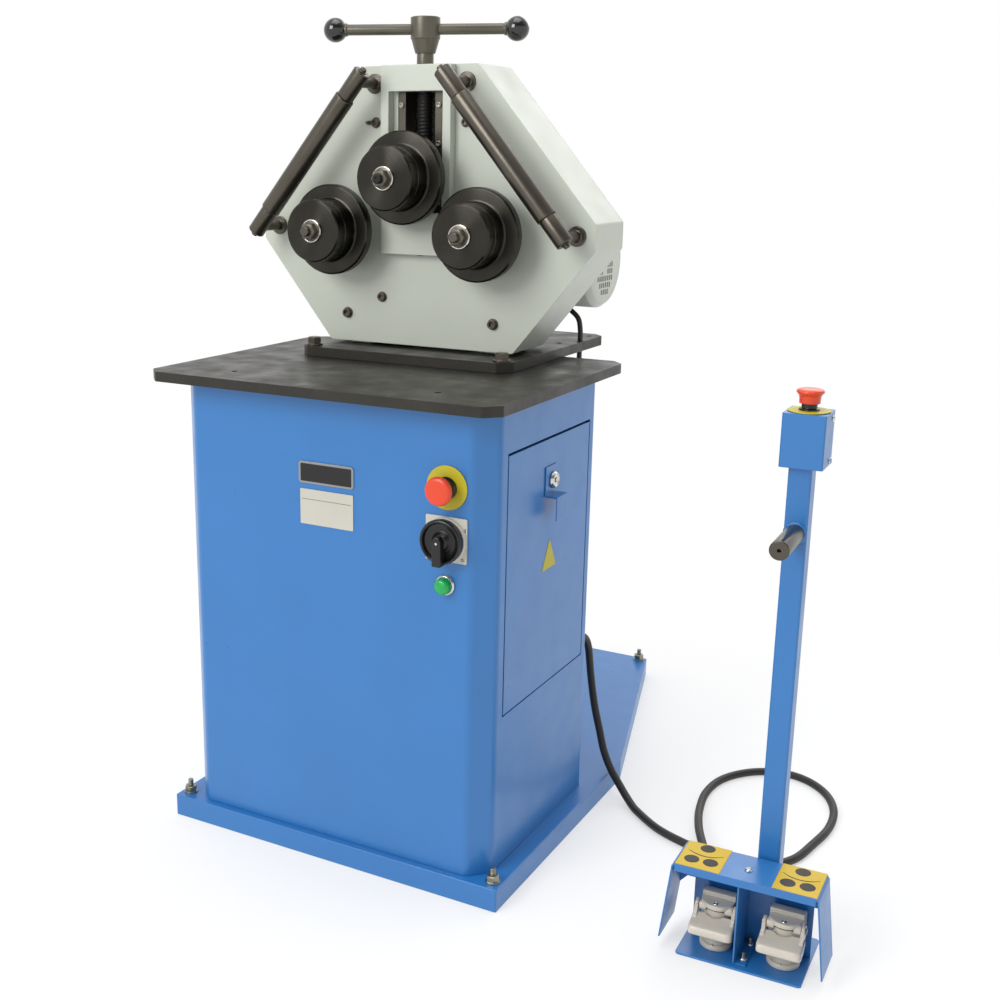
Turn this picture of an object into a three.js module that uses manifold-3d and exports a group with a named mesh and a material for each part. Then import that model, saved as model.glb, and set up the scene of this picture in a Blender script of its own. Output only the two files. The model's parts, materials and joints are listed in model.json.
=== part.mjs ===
// Floor-standing ring roller with three rolls, a screw-down top roll and a separate pedal console.
// Millimetres, +Z up, front of the machine towards -Y. The origin is on the floor, at the
// middle of the whole object's bounding box.

import * as THREE from 'three';
import { mergeVertices } from 'three/addons/utils/BufferGeometryUtils.js';
import Module from 'manifold-3d';

const wasm = await Module();
wasm.setup();

// Clearance between pieces that touch
const GAP = 0.3;

// Base tray: a folded sheet foot, wide in front and tapering behind
const TRAY = { halfWidth: 276.5, front: -187, middle: 275, rear: 728.5, rearHalfWidth: 155, height: 34, sheet: 3 };

// Cabinet: sheet steel with chamfered front corners
const CABINET = { halfWidth: 251, front: -175.5, rear: 164, chamfer: 28, sheet: 2.5, top: 686.7 };

// Door on the right side of the cabinet, hinged along its lower edge
const DOOR = { front: -125, rear: 143, bottom: 258.5, top: 621, sheet: 2, flange: 14, slit: 3, barrelR: 3 };

// Table plate
const TABLE = { halfWidth: 276, halfDepth: 217.5, bottom: 687, top: 701, chamfer: 20 };

// Head base plate, overhanging the table at the back
const PLATE = { halfWidth: 177, front: 18.3, rear: 382.3, bottom: 701.3, top: 715.8, chamfer: 18 };

// Head casing: an eight-cornered box, wide at the shoulders
const CASING = {
  topHalf: 92, shoulderHalf: 275.3, bottomHalf: 154.5,
  top: 1119.6, shoulderTop: 906, shoulderBottom: 869, bottom: 720.5,
  front: 79, rear: 178, wall: 5, face: 8,
};

// Slide frame standing off the casing's face, with the slide window in it
const FRAME = { halfWidth: 57, front: 64, bottom: 855, windowHalf: 44, windowBottom: 915.5, windowTop: 1083.5 };
const SLIDE_WAY = { half: 30, ledge: 36.3, bottom: 913, top: 1086, rear: 118.5 };

// Rolls
const LOWER_X = 120;
const LOWER_Z = 889.4;
const UPPER_Z = 964.5;
const ROLL = { flangeR: 65, ringR: 43.5, flangeFront: 22, flangeRear: 38, front: -23, shaftR: 15, studR: 7, sides: 18 };

// Drive gears: module 6, 26 teeth on the rolls, 14 on the pinion between them
const GEAR = { module: 6, teeth: 26, pinionTeeth: 14, front: 132, rear: 152, backlash: 1.4 };

// Screw and handle
const SCREW_Y = 92.5;
const SCREW_R = 12;
const HANDLE = { turn: 20.4, half: 130, ballR: 17, barR: 7.5, hubR: 21, neck: 15.7, taper: 19.7, hubHeight: 30, barDrop: 17 };
const hubFoot = CASING.top + HANDLE.neck;
const hubShoulder = hubFoot + HANDLE.taper;
const hubTop = hubShoulder + HANDLE.hubHeight;
const handleZ = hubTop - HANDLE.barDrop;

// Guide rails at the shoulders, with a free sleeve on each
const GUIDE = {
  topX: 92.4, topZ: 1074.5, angle: 49.9, y: 25, sleeve: 208.6,
  pinR: 7.5, padR: 12.5, padDepth: 11, endR: 12, shaftR: 7, sleeveR: 14, before: 45, after: 43,
  pinBefore: 27, pinAfter: 33,
};

// Motor behind the head, its axis along X
const MOTOR = { y: 281, z: 841, frameR: 61, cowlR: 70, flangeFrom: 78, flangeTo: 90, cowlFrom: 162, cowlWall: 2.5, end: 211 };

// Controls on the cabinet's front
const CONTROLS = { stopInset: 63, stopZ: 582.4, switchInset: 62.6, switchZ: 513.7, lampInset: 64, lampZ: 450.6 };
const stopX = CABINET.halfWidth - CONTROLS.stopInset;
const switchX = CABINET.halfWidth - CONTROLS.switchInset;
const lampX = CABINET.halfWidth - CONTROLS.lampInset;

// Where the hose and the motor cable enter the cabinet's back
const HOSE_X = 222;
const HOSE_Z = 262;
const CABLE_X = 170;
const CABLE_Z = 610;

// Pedal console: its own frame stands on the floor at CONSOLE_X, CONSOLE_Y, turned a little
const CONSOLE_X = 597.7;
const CONSOLE_Y = -147.1;
const CONSOLE_TURN = 1.9;
const HOOD = {
  half: 90.4, flare: 104.5, depth: 67.3, top: 125, wingBottom: 15.7, sheet: 2, lip: 10.5,
  rearLip: 49, rearCorner: 12,
};
const STAND = { half: 80, front: -4, rear: 112, sheet: 3, panelHalf: 77, panelFront: 68, panelTop: 122.5 };
const POST = { x: 14, half: 14, front: 70.3, rear: 98.3, top: 641.2 };
const HEADBOX = { x: 16.5, half: 25.7, front: 57, rear: 108.5, bottom: 641.5, top: 706.8, sheet: 2 };

// The origin: middle of everything but the hose
const WEST = -TRAY.halfWidth;
const turnRad = THREE.MathUtils.degToRad(CONSOLE_TURN);
const EAST = CONSOLE_X + HOOD.flare * Math.cos(turnRad);
const SOUTH = -TABLE.halfDepth;
const NORTH = TRAY.rear;
const ORIGIN = [(WEST + EAST) / 2, (SOUTH + NORTH) / 2];

// Solids from three.js geometry

function signedVolume(positions, index) {
  let total = 0;
  const a = new THREE.Vector3();
  const b = new THREE.Vector3();
  const c = new THREE.Vector3();
  for (let i = 0; i < index.length; i += 3) {
    a.fromArray(positions, index[i] * 3);
    b.fromArray(positions, index[i + 1] * 3);
    c.fromArray(positions, index[i + 2] * 3);
    total += a.dot(b.cross(c));
  }
  return total / 6;
}

// A closed three.js geometry as a solid, without the flat triangles at a lathe's poles
function solid(source) {
  const bare = source.clone();
  bare.deleteAttribute('normal');
  bare.deleteAttribute('uv');
  const merged = mergeVertices(bare, 1e-4);
  const positions = merged.attributes.position.array;
  const kept = [];
  const index = merged.index.array;
  for (let i = 0; i < index.length; i += 3) {
    const [a, b, c] = [index[i], index[i + 1], index[i + 2]];
    if (a !== b && b !== c && c !== a) kept.push(a, b, c);
  }
  if (signedVolume(positions, kept) < 0) {
    for (let i = 0; i < kept.length; i += 3) {
      const swap = kept[i];
      kept[i] = kept[i + 1];
      kept[i + 1] = swap;
    }
  }
  const mesh = new wasm.Mesh({
    numProp: 3,
    vertProperties: new Float32Array(positions),
    triVerts: new Uint32Array(kept),
  });
  mesh.merge();
  return new wasm.Manifold(mesh);
}

function join(...parts) {
  return parts.reduce((whole, part) => whole.add(part));
}

function cut(body, ...tools) {
  return tools.reduce((whole, tool) => whole.subtract(tool), body);
}

function placed(geometry, axis) {
  if (axis === 'x') {
    const turn = new THREE.Matrix4().makeBasis(
      new THREE.Vector3(0, 1, 0), new THREE.Vector3(0, 0, 1), new THREE.Vector3(1, 0, 0));
    geometry.applyMatrix4(turn);
  }
  return geometry;
}

// A prism: outline in the two other axes in X, Y, Z order, drawn out along one axis
function prism(points, axis, from, to, holes = []) {
  const shape = new THREE.Shape(points.map(([u, v]) => new THREE.Vector2(u, v)));
  for (const hole of holes) {
    shape.holes.push(new THREE.Path(hole.map(([u, v]) => new THREE.Vector2(u, v))));
  }
  const geometry = new THREE.ExtrudeGeometry(shape, { depth: to - from, bevelEnabled: false, steps: 1 });
  if (axis === 'y') {
    geometry.rotateX(Math.PI / 2);
    geometry.translate(0, to, 0);
  } else if (axis === 'x') {
    placed(geometry, 'x');
    geometry.translate(from, 0, 0);
  } else {
    geometry.translate(0, 0, from);
  }
  return solid(geometry);
}

function block(x0, x1, y0, y1, z0, z1) {
  const geometry = new THREE.BoxGeometry(x1 - x0, y1 - y0, z1 - z0);
  geometry.translate((x0 + x1) / 2, (y0 + y1) / 2, (z0 + z1) / 2);
  return solid(geometry);
}

// A turned piece: profile of [along, radius], from the axis back to the axis or closed on itself
function turned(profile, axis, centre, sides = 12) {
  const points = profile.map(([along, radius]) => new THREE.Vector2(radius, along));
  const geometry = new THREE.LatheGeometry(points, sides);
  if (axis === 'z') geometry.rotateX(Math.PI / 2);
  if (axis === 'x') geometry.rotateZ(-Math.PI / 2);
  const [x, y, z] = centre;
  geometry.translate(x, y, z);
  return solid(geometry);
}

// A plain disc or rod along an axis; a and b are its ends on that axis
function rod(axis, radius, a, b, centre, sides = 12) {
  return turned([[a, 0], [a, radius], [b, radius], [b, 0]], axis, centre, sides);
}

// The same with a chamfer at each end
function chamferedRod(axis, radius, a, b, chamfer, centre, sides = 12) {
  const profile = [[a, 0], [a, radius - chamfer], [a + chamfer, radius], [b - chamfer, radius],
    [b, radius - chamfer], [b, 0]];
  return turned(profile, axis, centre, sides);
}

// A ring with a bore right through it
function ring(axis, outer, inner, a, b, chamfer, centre, sides = 12) {
  const profile = [[a, inner], [a, outer - chamfer], [a + chamfer, outer], [b - chamfer, outer],
    [b, outer - chamfer], [b, inner], [a, inner]];
  return turned(profile, axis, centre, sides);
}

// A bore's radius at its corners, so that a round piece turns in it clear of its flats
function boreRadius(radius, sides, clearance = GAP) {
  return (radius + clearance) / Math.cos(Math.PI / sides);
}

// A hexagonal head across flats, drawn out along one axis
function hexagon(axis, flats, a, b, centre) {
  return rod(axis, flats / Math.sqrt(3), a, b, centre, 6);
}

function circle(x, y, radius, sides = 16) {
  const points = [];
  for (let i = 0; i < sides; i += 1) {
    const angle = (i / sides) * 2 * Math.PI;
    points.push([x + radius * Math.cos(angle), y + radius * Math.sin(angle)]);
  }
  return points;
}

function rectangle(u0, u1, v0, v1) {
  return [[u0, v0], [u1, v0], [u1, v1], [u0, v1]];
}

// A rectangle with its four corners cut at 45 degrees
function octagon(u0, u1, v0, v1, c) {
  return [[u0 + c, v0], [u1 - c, v0], [u1, v0 + c], [u1, v1 - c],
    [u1 - c, v1], [u0 + c, v1], [u0, v1 - c], [u0, v0 + c]];
}

function moved(body, matrix) {
  return body.transform(matrix.elements);
}

function turnedAbout(body, axis, degrees, x, y, z) {
  const turn = new THREE.Matrix4().makeRotationAxis(axis, THREE.MathUtils.degToRad(degrees));
  const there = new THREE.Matrix4().makeTranslation(x, y, z);
  const back = new THREE.Matrix4().makeTranslation(-x, -y, -z);
  return moved(body, there.multiply(turn).multiply(back));
}

const X_AXIS = new THREE.Vector3(1, 0, 0);
const Y_AXIS = new THREE.Vector3(0, 1, 0);
const Z_AXIS = new THREE.Vector3(0, 0, 1);

// Materials

function material(hex, roughness, metalness) {
  return new THREE.MeshStandardMaterial({ color: hex, roughness, metalness });
}

const BLUE = material(0x3f7fc8, 0.45, 0.1);
const GREY = material(0xb4b8ad, 0.5, 0.1);
const BLACK = material(0x26241f, 0.4, 0.5);
const BLACK_PLATE = material(0x2c2b27, 0.55, 0.4);
const STEEL = material(0x8d8a80, 0.35, 0.9);
const YELLOW = material(0xe2c63a, 0.5, 0.0);
const RED = material(0xe2512f, 0.4, 0.0);
const GREEN = material(0x19a35b, 0.3, 0.0);
const WHITE = material(0xd8d6cc, 0.5, 0.0);
const RUBBER = material(0x1d1b18, 0.8, 0.0);
const CAST = material(0xc9c1b4, 0.45, 0.1);

// The two frames: the machine and the console

const group = new THREE.Group();
const machine = new THREE.Group();
machine.position.set(-ORIGIN[0], -ORIGIN[1], 0);
group.add(machine);
const consoleGroup = new THREE.Group();
consoleGroup.position.set(CONSOLE_X - ORIGIN[0], CONSOLE_Y - ORIGIN[1], 0);
consoleGroup.rotation.set(0, 0, turnRad);
group.add(consoleGroup);

function put(parent, name, body, look) {
  const mesh = body.getMesh();
  const geometry = new THREE.BufferGeometry();
  geometry.setAttribute('position', new THREE.BufferAttribute(new Float32Array(mesh.vertProperties), 3));
  geometry.setIndex(new THREE.BufferAttribute(new Uint32Array(mesh.triVerts), 1));
  const piece = new THREE.Mesh(geometry, look);
  piece.name = name;
  parent.add(piece);
  return piece;
}

// Base tray with its four levelling bolts

function trayOutline(inset) {
  const t = TRAY;
  const w = t.halfWidth - inset;
  const r = t.rearHalfWidth - inset;
  return [[-w, t.front + inset], [w, t.front + inset], [w, t.middle], [r, t.rear - inset],
    [-r, t.rear - inset], [-w, t.middle]];
}

function levellingBolt(x, y) {
  const seat = TRAY.height - 1;
  const washer = rod('z', 10, seat, TRAY.height + 2, [x, y, 0], 8);
  const nut = hexagon('z', 16, TRAY.height + 1, TRAY.height + 11, [x, y, 0]);
  const stud = rod('z', 4, TRAY.height + 9, TRAY.height + 21, [x, y, 0], 8);
  return join(washer, nut, stud);
}

const trayBody = cut(
  prism(trayOutline(0), 'z', 0, TRAY.height),
  prism(trayOutline(TRAY.sheet), 'z', -1, TRAY.height - TRAY.sheet),
);
put(machine, 'base_tray', join(trayBody, levellingBolt(-262, -168), levellingBolt(262, -168),
  levellingBolt(-143, 716), levellingBolt(143, 716)), BLUE);

// Cabinet shell

function cabinetOutline(inset) {
  const c = CABINET;
  const w = c.halfWidth - inset;
  const k = c.chamfer - inset * 0.414;
  const f = c.front + inset;
  return [[-w + k, f], [w - k, f], [w, f + k], [w, c.rear - inset], [-w, c.rear - inset], [-w, f + k]];
}

const shellWall = prism(cabinetOutline(0), 'z', TRAY.height + GAP, CABINET.top,
  [cabinetOutline(CABINET.sheet)]);
// Flanges turned in at the top and bottom, for the table and the tray
const flangeRing = (z0) => prism(cabinetOutline(1), 'z', z0, z0 + 3, [cabinetOutline(24)]);
const bottomFlange = flangeRing(TRAY.height + GAP);
const topFlange = flangeRing(CABINET.top - 3);
const doorway = block(CABINET.halfWidth - 6, CABINET.halfWidth + 5, DOOR.front - DOOR.slit,
  DOOR.rear + DOOR.slit, DOOR.bottom - GAP, DOOR.top + DOOR.slit + 0.5);
const frontHole = (x, z, r) => rod('y', r, -190, -160, [x, 0, z], 10);
put(machine, 'cabinet_shell', cut(
  join(shellWall, bottomFlange, topFlange),
  doorway,
  frontHole(stopX, CONTROLS.stopZ, 11.4),
  frontHole(switchX, CONTROLS.switchZ, 12.4),
  frontHole(lampX, CONTROLS.lampZ, 11.4),
  rod('y', 9.4, 150, 170, [HOSE_X, 0, HOSE_Z], 10),
  rod('y', 6.9, 150, 170, [CABLE_X, 0, CABLE_Z], 8),
), BLUE);

// Electrical back plate inside the cabinet, with the contactors, transformer and terminal rail on it
const panelY = CABINET.rear - CABINET.sheet - GAP;
put(machine, 'electrics_panel', join(
  block(-130, 130, panelY - 2, panelY, 330, 600),
  block(-110, -50, panelY - 72, panelY - 1, 500, 580),
  block(-44, 0, panelY - 72, panelY - 1, 500, 580),
  block(20, 110, panelY - 80, panelY - 1, 480, 570),
  block(-115, 115, panelY - 40, panelY - 1, 370, 410),
), WHITE);

// Door: a folded panel, hinged low, with a lock and a pull
const doorOuter = CABINET.halfWidth;
const doorPanel = block(doorOuter - DOOR.sheet, doorOuter, DOOR.front, DOOR.rear, DOOR.bottom + DOOR.barrelR, DOOR.top);
const doorFold = (y0, y1, z0, z1) => block(doorOuter - DOOR.flange, doorOuter - 1, y0, y1, z0, z1);
const LOCK_Y = 13;
const LOCK_Z = 562;
const LOCK_R = 9;
const lockBore = boreRadius(LOCK_R, 12);
put(machine, 'cabinet_door', cut(
  join(
    doorPanel,
    doorFold(DOOR.front, DOOR.front + 2, DOOR.bottom + 12, DOOR.top),
    doorFold(DOOR.rear - 2, DOOR.rear, DOOR.bottom + 12, DOOR.top),
    doorFold(DOOR.front, DOOR.rear, DOOR.top - 2, DOOR.top),
    rod('y', DOOR.barrelR, DOOR.front, DOOR.rear, [doorOuter - DOOR.barrelR, 0, DOOR.bottom + DOOR.barrelR], 10),
  ),
  rod('x', lockBore, doorOuter - 20, doorOuter + 5, [0, LOCK_Y, LOCK_Z], 12),
), BLUE);

// Lock plate and pull, one folded piece on the door's outer face
const pullFront = -10;
const pullRear = 27;
const pullX = doorOuter + GAP;
put(machine, 'door_pull', cut(
  join(
    block(pullX, pullX + 1.6, pullFront, pullRear, 542, 583),
    block(pullX, pullX + 19, pullFront, pullRear, 540.5, 542.5),
    block(pullX + 17.4, pullX + 19, pullFront, pullRear, 509, 542),
  ),
  rod('x', lockBore, doorOuter - 5, doorOuter + 10, [0, LOCK_Y, LOCK_Z], 12),
), BLUE);

// Key lock: bezel, barrel through the door and the cam behind it
put(machine, 'door_lock', cut(
  join(
    chamferedRod('x', LOCK_R + 3, pullX + 1.6 + GAP, pullX + 8, 1.2, [0, LOCK_Y, LOCK_Z], 12),
    rod('x', LOCK_R, doorOuter - 22, pullX + 3, [0, LOCK_Y, LOCK_Z], 12),
    block(doorOuter - 22, doorOuter - 19, LOCK_Y - 72, LOCK_Y + 9, LOCK_Z - 7, LOCK_Z + 7),
  ),
  block(pullX + 5, pullX + 12, LOCK_Y - 1, LOCK_Y + 1, LOCK_Z - 5, LOCK_Z + 5),
), STEEL);

// Table plate with two visible holes in front and the cable notch behind
put(machine, 'table_top', prism(
  octagon(-TABLE.halfWidth, TABLE.halfWidth, -TABLE.halfDepth, TABLE.halfDepth, TABLE.chamfer),
  'z', TABLE.bottom, TABLE.top, [circle(-163, -157, 4.5, 10), circle(163, -157, 4.5, 10)]), BLACK_PLATE);

// Head base plate with its front bolts, open holes and the cable hole
const PLATE_BOLT_X = 158;
const PLATE_BOLT_Y = 37;
const CABLE_HOLE_Y = 290;
function plateBolt(x, y) {
  const washer = rod('z', 12, PLATE.top - 1, PLATE.top + 2.5, [x, y, 0], 8);
  const head = hexagon('z', 19, PLATE.top + 1, PLATE.top + 10.5, [x, y, 0]);
  return join(washer, head);
}
const plateSlab = prism(
  octagon(-PLATE.halfWidth, PLATE.halfWidth, PLATE.front, PLATE.rear, PLATE.chamfer),
  'z', PLATE.bottom, PLATE.top,
  [circle(152, 251, 4.5, 8), circle(-152, 251, 4.5, 8), circle(160, 352, 4.5, 8),
    circle(-160, 352, 4.5, 8), circle(CABLE_X, CABLE_HOLE_Y, 5.4, 10)]);
put(machine, 'head_base_plate', join(plateSlab, plateBolt(-PLATE_BOLT_X, PLATE_BOLT_Y),
  plateBolt(PLATE_BOLT_X, PLATE_BOLT_Y), plateBolt(-100, 215), plateBolt(100, 215)), BLACK_PLATE);

// Head casing

function casingOutline(inset) {
  const c = CASING;
  const shoulder = c.shoulderHalf - inset;
  const t = c.topHalf - inset * 0.46;
  const b = c.bottomHalf - inset * 0.48;
  const up = c.shoulderTop - inset * 0.46;
  const low = c.shoulderBottom + inset * 0.48;
  return [[-b, c.bottom + inset], [b, c.bottom + inset], [shoulder, low], [shoulder, up],
    [t, c.top - inset], [-t, c.top - inset], [-shoulder, up], [-shoulder, low]];
}

const casingShell = cut(
  prism(casingOutline(0), 'y', CASING.front, CASING.rear),
  prism(casingOutline(CASING.wall), 'y', CASING.front + CASING.face, CASING.rear + 1),
);
// Guideway cheeks behind the window, the nut block over them, bearing bosses and feet
const cheek = (side) => {
  const near = side > 0 ? SLIDE_WAY.half + GAP : -50;
  const far = side > 0 ? 50 : -SLIDE_WAY.half - GAP;
  return block(near, far, CASING.front + 1, SLIDE_WAY.rear, SLIDE_WAY.bottom - 30, CASING.top - 2);
};
const nutBlock = block(-40, 40, CASING.front + 1, SLIDE_WAY.rear, SLIDE_WAY.top, CASING.top - 2);
const backBridge = block(-50, 50, SLIDE_WAY.rear - 2, SLIDE_WAY.rear + 6, SLIDE_WAY.bottom - 30, 905);
const boss = (x) => chamferedRod('y', 36, 66, 100, 2, [x, 0, LOWER_Z], 14);
const shaftBore = boreRadius(ROLL.shaftR, 16);
const bore = (x, z) => rod('y', shaftBore, 40, 130, [x, 0, z], 16);
const foot = (x) => block(x - 18, x + 18, 95, 165, PLATE.top + GAP, CASING.bottom + 4);
const faceScrew = (x, z, r) => turned([[CASING.front + 1, 0], [CASING.front + 1, r], [CASING.front - 3, r],
  [CASING.front - 5, r * 0.6], [CASING.front - 5, 0]], 'y', [x, 0, z], 8);
const wayOpening = join(
  block(-SLIDE_WAY.ledge, SLIDE_WAY.ledge, CASING.front - 2, CASING.front + CASING.face - 0.7,
    SLIDE_WAY.bottom, SLIDE_WAY.top),
  block(-SLIDE_WAY.half - GAP, SLIDE_WAY.half + GAP, CASING.front - 2, SLIDE_WAY.rear + 20,
    SLIDE_WAY.bottom, SLIDE_WAY.top),
);
put(machine, 'head_casing', cut(
  join(casingShell, cheek(-1), cheek(1), nutBlock, backBridge, boss(-LOWER_X), boss(LOWER_X), foot(-110), foot(110),
    faceScrew(-73.5, 1041, 5.5), faceScrew(73.5, 1041, 4.5), faceScrew(-63, 790, 5.5),
    faceScrew(-124, 763, 6), faceScrew(122.5, 761, 6)),
  wayOpening,
  bore(-LOWER_X, LOWER_Z),
  bore(LOWER_X, LOWER_Z),
  rod('z', boreRadius(SCREW_R, 16), SLIDE_WAY.top - 5, CASING.top + 5, [0, SCREW_Y, 0], 16),
), GREY);

// Rear cover with the rear bearing bosses and the way through for the pinion
const rearBoss = (x) => rod('y', 30, CASING.rear - 12, CASING.rear + GAP + 1, [x, 0, LOWER_Z], 12);
put(machine, 'head_rear_cover', cut(
  join(prism(casingOutline(0), 'y', CASING.rear + GAP, CASING.rear + GAP + 3), rearBoss(-LOWER_X), rearBoss(LOWER_X)),
  rod('y', boreRadius(ROLL.shaftR, 12), CASING.rear - 20, CASING.rear - 4, [-LOWER_X, 0, LOWER_Z], 12),
  rod('y', boreRadius(ROLL.shaftR, 12), CASING.rear - 20, CASING.rear - 4, [LOWER_X, 0, LOWER_Z], 12),
  rod('y', 18, CASING.rear - 5, CASING.rear + 10, [0, 0, LOWER_Z], 12),
), GREY);

// Slide frame on the casing's face
const frameFace = prism(rectangle(-FRAME.halfWidth, FRAME.halfWidth, FRAME.bottom, CASING.top), 'y',
  FRAME.front, CASING.front - GAP,
  [rectangle(-FRAME.windowHalf, FRAME.windowHalf, FRAME.windowBottom, FRAME.windowTop)]);
put(machine, 'slide_frame', cut(frameFace, rod('y', 6, 50, 90, [0, 0, FRAME.bottom], 8)), GREY);

// Gib strips beside the slide, each with two cap screws
function gibStrip(side) {
  const near = 24;
  const far = SLIDE_WAY.ledge - GAP;
  const x0 = side > 0 ? near : -far;
  const x1 = side > 0 ? far : -near;
  const front = 79;
  const strip = block(x0, x1, front, CASING.front + CASING.face - 1, SLIDE_WAY.bottom + 1, SLIDE_WAY.top - 1);
  const screw = (z) => rod('y', 3.8, front - 2.5, front + 1, [side * 30.5, 0, z], 8);
  return join(strip, screw(1065), screw(1012), screw(930));
}
put(machine, 'gib_strip_left', gibStrip(-1), BLACK);
put(machine, 'gib_strip_right', gibStrip(1), BLACK);

// Slide block carrying the top roll's shaft
const SCREW_TIP_R = 6;
const slideBottom = 934;
const slideTop = 1000;
put(machine, 'slide_block', cut(
  join(
    block(-SLIDE_WAY.half, SLIDE_WAY.half, CASING.front + CASING.face - 0.7, SLIDE_WAY.rear, slideBottom, slideTop),
    block(-23.7, 23.7, 77, CASING.front + CASING.face, slideBottom, slideTop),
    chamferedRod('y', 23, 66, 80, 1.5, [0, 0, UPPER_Z], 12),
  ),
  rod('y', shaftBore, 50, 130, [0, 0, UPPER_Z], 16),
  rod('z', boreRadius(SCREW_TIP_R, 8), 984, 1005, [0, SCREW_Y, 0], 8),
), BLACK);

// Lift screw with the hub pinned on it
const hubProfile = [[slideTop - 14, 0], [slideTop - 14, SCREW_TIP_R], [slideTop + GAP, SCREW_TIP_R],
  [slideTop + GAP, SCREW_R], [hubFoot, SCREW_R], [hubFoot, SCREW_R + 2.3], [hubShoulder, HANDLE.hubR - 0.6],
  [hubShoulder, HANDLE.hubR], [hubTop - 2, HANDLE.hubR], [hubTop, HANDLE.hubR - 3], [hubTop, 0]];
const crossHole = turnedAbout(
  rod('x', HANDLE.barR + GAP, -HANDLE.hubR * 2, HANDLE.hubR * 2, [0, SCREW_Y, handleZ], 10),
  Z_AXIS, HANDLE.turn, 0, SCREW_Y, handleZ);
put(machine, 'lift_screw', cut(turned(hubProfile, 'z', [0, SCREW_Y, 0], 12), crossHole), BLACK);

// Handle bar with a ball at each end
function handleBall(side) {
  const geometry = new THREE.SphereGeometry(HANDLE.ballR, 12, 8);
  geometry.rotateZ(Math.PI / 2);
  geometry.translate(side * HANDLE.half, SCREW_Y, handleZ);
  return solid(geometry);
}
const straightBar = rod('x', HANDLE.barR, -HANDLE.half, HANDLE.half, [0, SCREW_Y, handleZ], 10);
put(machine, 'handle_bar', turnedAbout(
  join(straightBar, handleBall(-1), handleBall(1)),
  Z_AXIS, HANDLE.turn, 0, SCREW_Y, handleZ), BLACK);

// Gear tooth outline: straight flanks through the involute's root and tip

function gearOutline(teeth, turn) {
  const m = GEAR.module;
  const pitchR = (m * teeth) / 2;
  const baseR = pitchR * Math.cos(THREE.MathUtils.degToRad(20));
  const tipR = pitchR + 0.85 * m;
  const rootR = pitchR - 1.2 * m;
  const involute = (r) => {
    if (r <= baseR) return 0;
    const a = Math.acos(baseR / r);
    return Math.tan(a) - a;
  };
  const halfAtPitch = (Math.PI * m / 2 - GEAR.backlash) / (2 * pitchR);
  const halfAt = (r) => halfAtPitch + involute(pitchR) - involute(Math.max(r, baseR));
  const points = [];
  for (let i = 0; i < teeth; i += 1) {
    const centre = turn + (i / teeth) * 2 * Math.PI;
    for (const [r, side] of [[rootR, -1], [tipR, -1], [tipR, 1], [rootR, 1]]) {
      const angle = centre + side * halfAt(r);
      points.push([r * Math.cos(angle), r * Math.sin(angle)]);
    }
  }
  return points;
}

function gearDisc(teeth, turn, x, z) {
  const points = gearOutline(teeth, turn).map(([u, v]) => [u + x, v + z]);
  return prism(points, 'y', GEAR.front, GEAR.rear);
}

// Rolls: shaft, flanged roll, front ring and nut

function rollShaft(x, z, rear) {
  const r = ROLL.shaftR;
  const stud = ROLL.studR;
  const profile = [[-43, 0], [-43, stud - 1], [-42, stud], [ROLL.front + 1, stud],
    [ROLL.front + 1, r], [rear, r], [rear, 0]];
  return turned(profile, 'y', [x, 0, z], 12);
}

function flangedRoll(x, z, spacerRear) {
  const inner = ROLL.shaftR + 0.4;
  const f = ROLL.flangeR;
  const a = ROLL.flangeFront;
  const profile = [[-3 + GAP, inner], [-3 + GAP, 42.5], [12, 42.5], [13, ROLL.ringR],
    [a, ROLL.ringR], [a, f - 1], [a + 1, f], [ROLL.flangeRear, f],
    [ROLL.flangeRear, 30], [spacerRear, 30], [spacerRear, inner], [-3 + GAP, inner]];
  return turned(profile, 'y', [x, 0, z], ROLL.sides);
}

function frontRing(x, z) {
  return ring('y', ROLL.ringR, ROLL.shaftR + 0.4, ROLL.front, -3, 1.5, [x, 0, z], ROLL.sides);
}

function rollNut(x, z) {
  const washer = rod('y', 16.5, ROLL.front - GAP - 3, ROLL.front - GAP, [x, 0, z], 12);
  const nut = hexagon('y', 22, ROLL.front - GAP - 15, ROLL.front - GAP - 2.5, [x, 0, z]);
  return cut(join(washer, nut), rod('y', ROLL.studR + 0.4, -60, 0, [x, 0, z], 12));
}

put(machine, 'top_shaft', rollShaft(0, UPPER_Z, 124), STEEL);
put(machine, 'top_roll', flangedRoll(0, UPPER_Z, 65.5), BLACK);
put(machine, 'top_ring', frontRing(0, UPPER_Z), BLACK);
put(machine, 'top_nut', rollNut(0, UPPER_Z), STEEL);
for (const [side, x] of [['left', -LOWER_X], ['right', LOWER_X]]) {
  const gear = gearDisc(GEAR.teeth, 0, x, LOWER_Z);
  put(machine, `${side}_shaft`, join(rollShaft(x, LOWER_Z, 172.5), gear), STEEL);
  put(machine, `${side}_roll`, flangedRoll(x, LOWER_Z, 65.5), BLACK);
  put(machine, `${side}_ring`, frontRing(x, LOWER_Z), BLACK);
  put(machine, `${side}_nut`, rollNut(x, LOWER_Z), STEEL);
}

// Drive pinion on the gearbox's output shaft
const PINION_SHAFT_R = 14;
put(machine, 'drive_pinion', join(
  gearDisc(GEAR.pinionTeeth, Math.PI / GEAR.pinionTeeth, 0, LOWER_Z),
  rod('y', PINION_SHAFT_R, GEAR.front - 4, 214, [0, 0, LOWER_Z], 12),
), STEEL);

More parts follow.
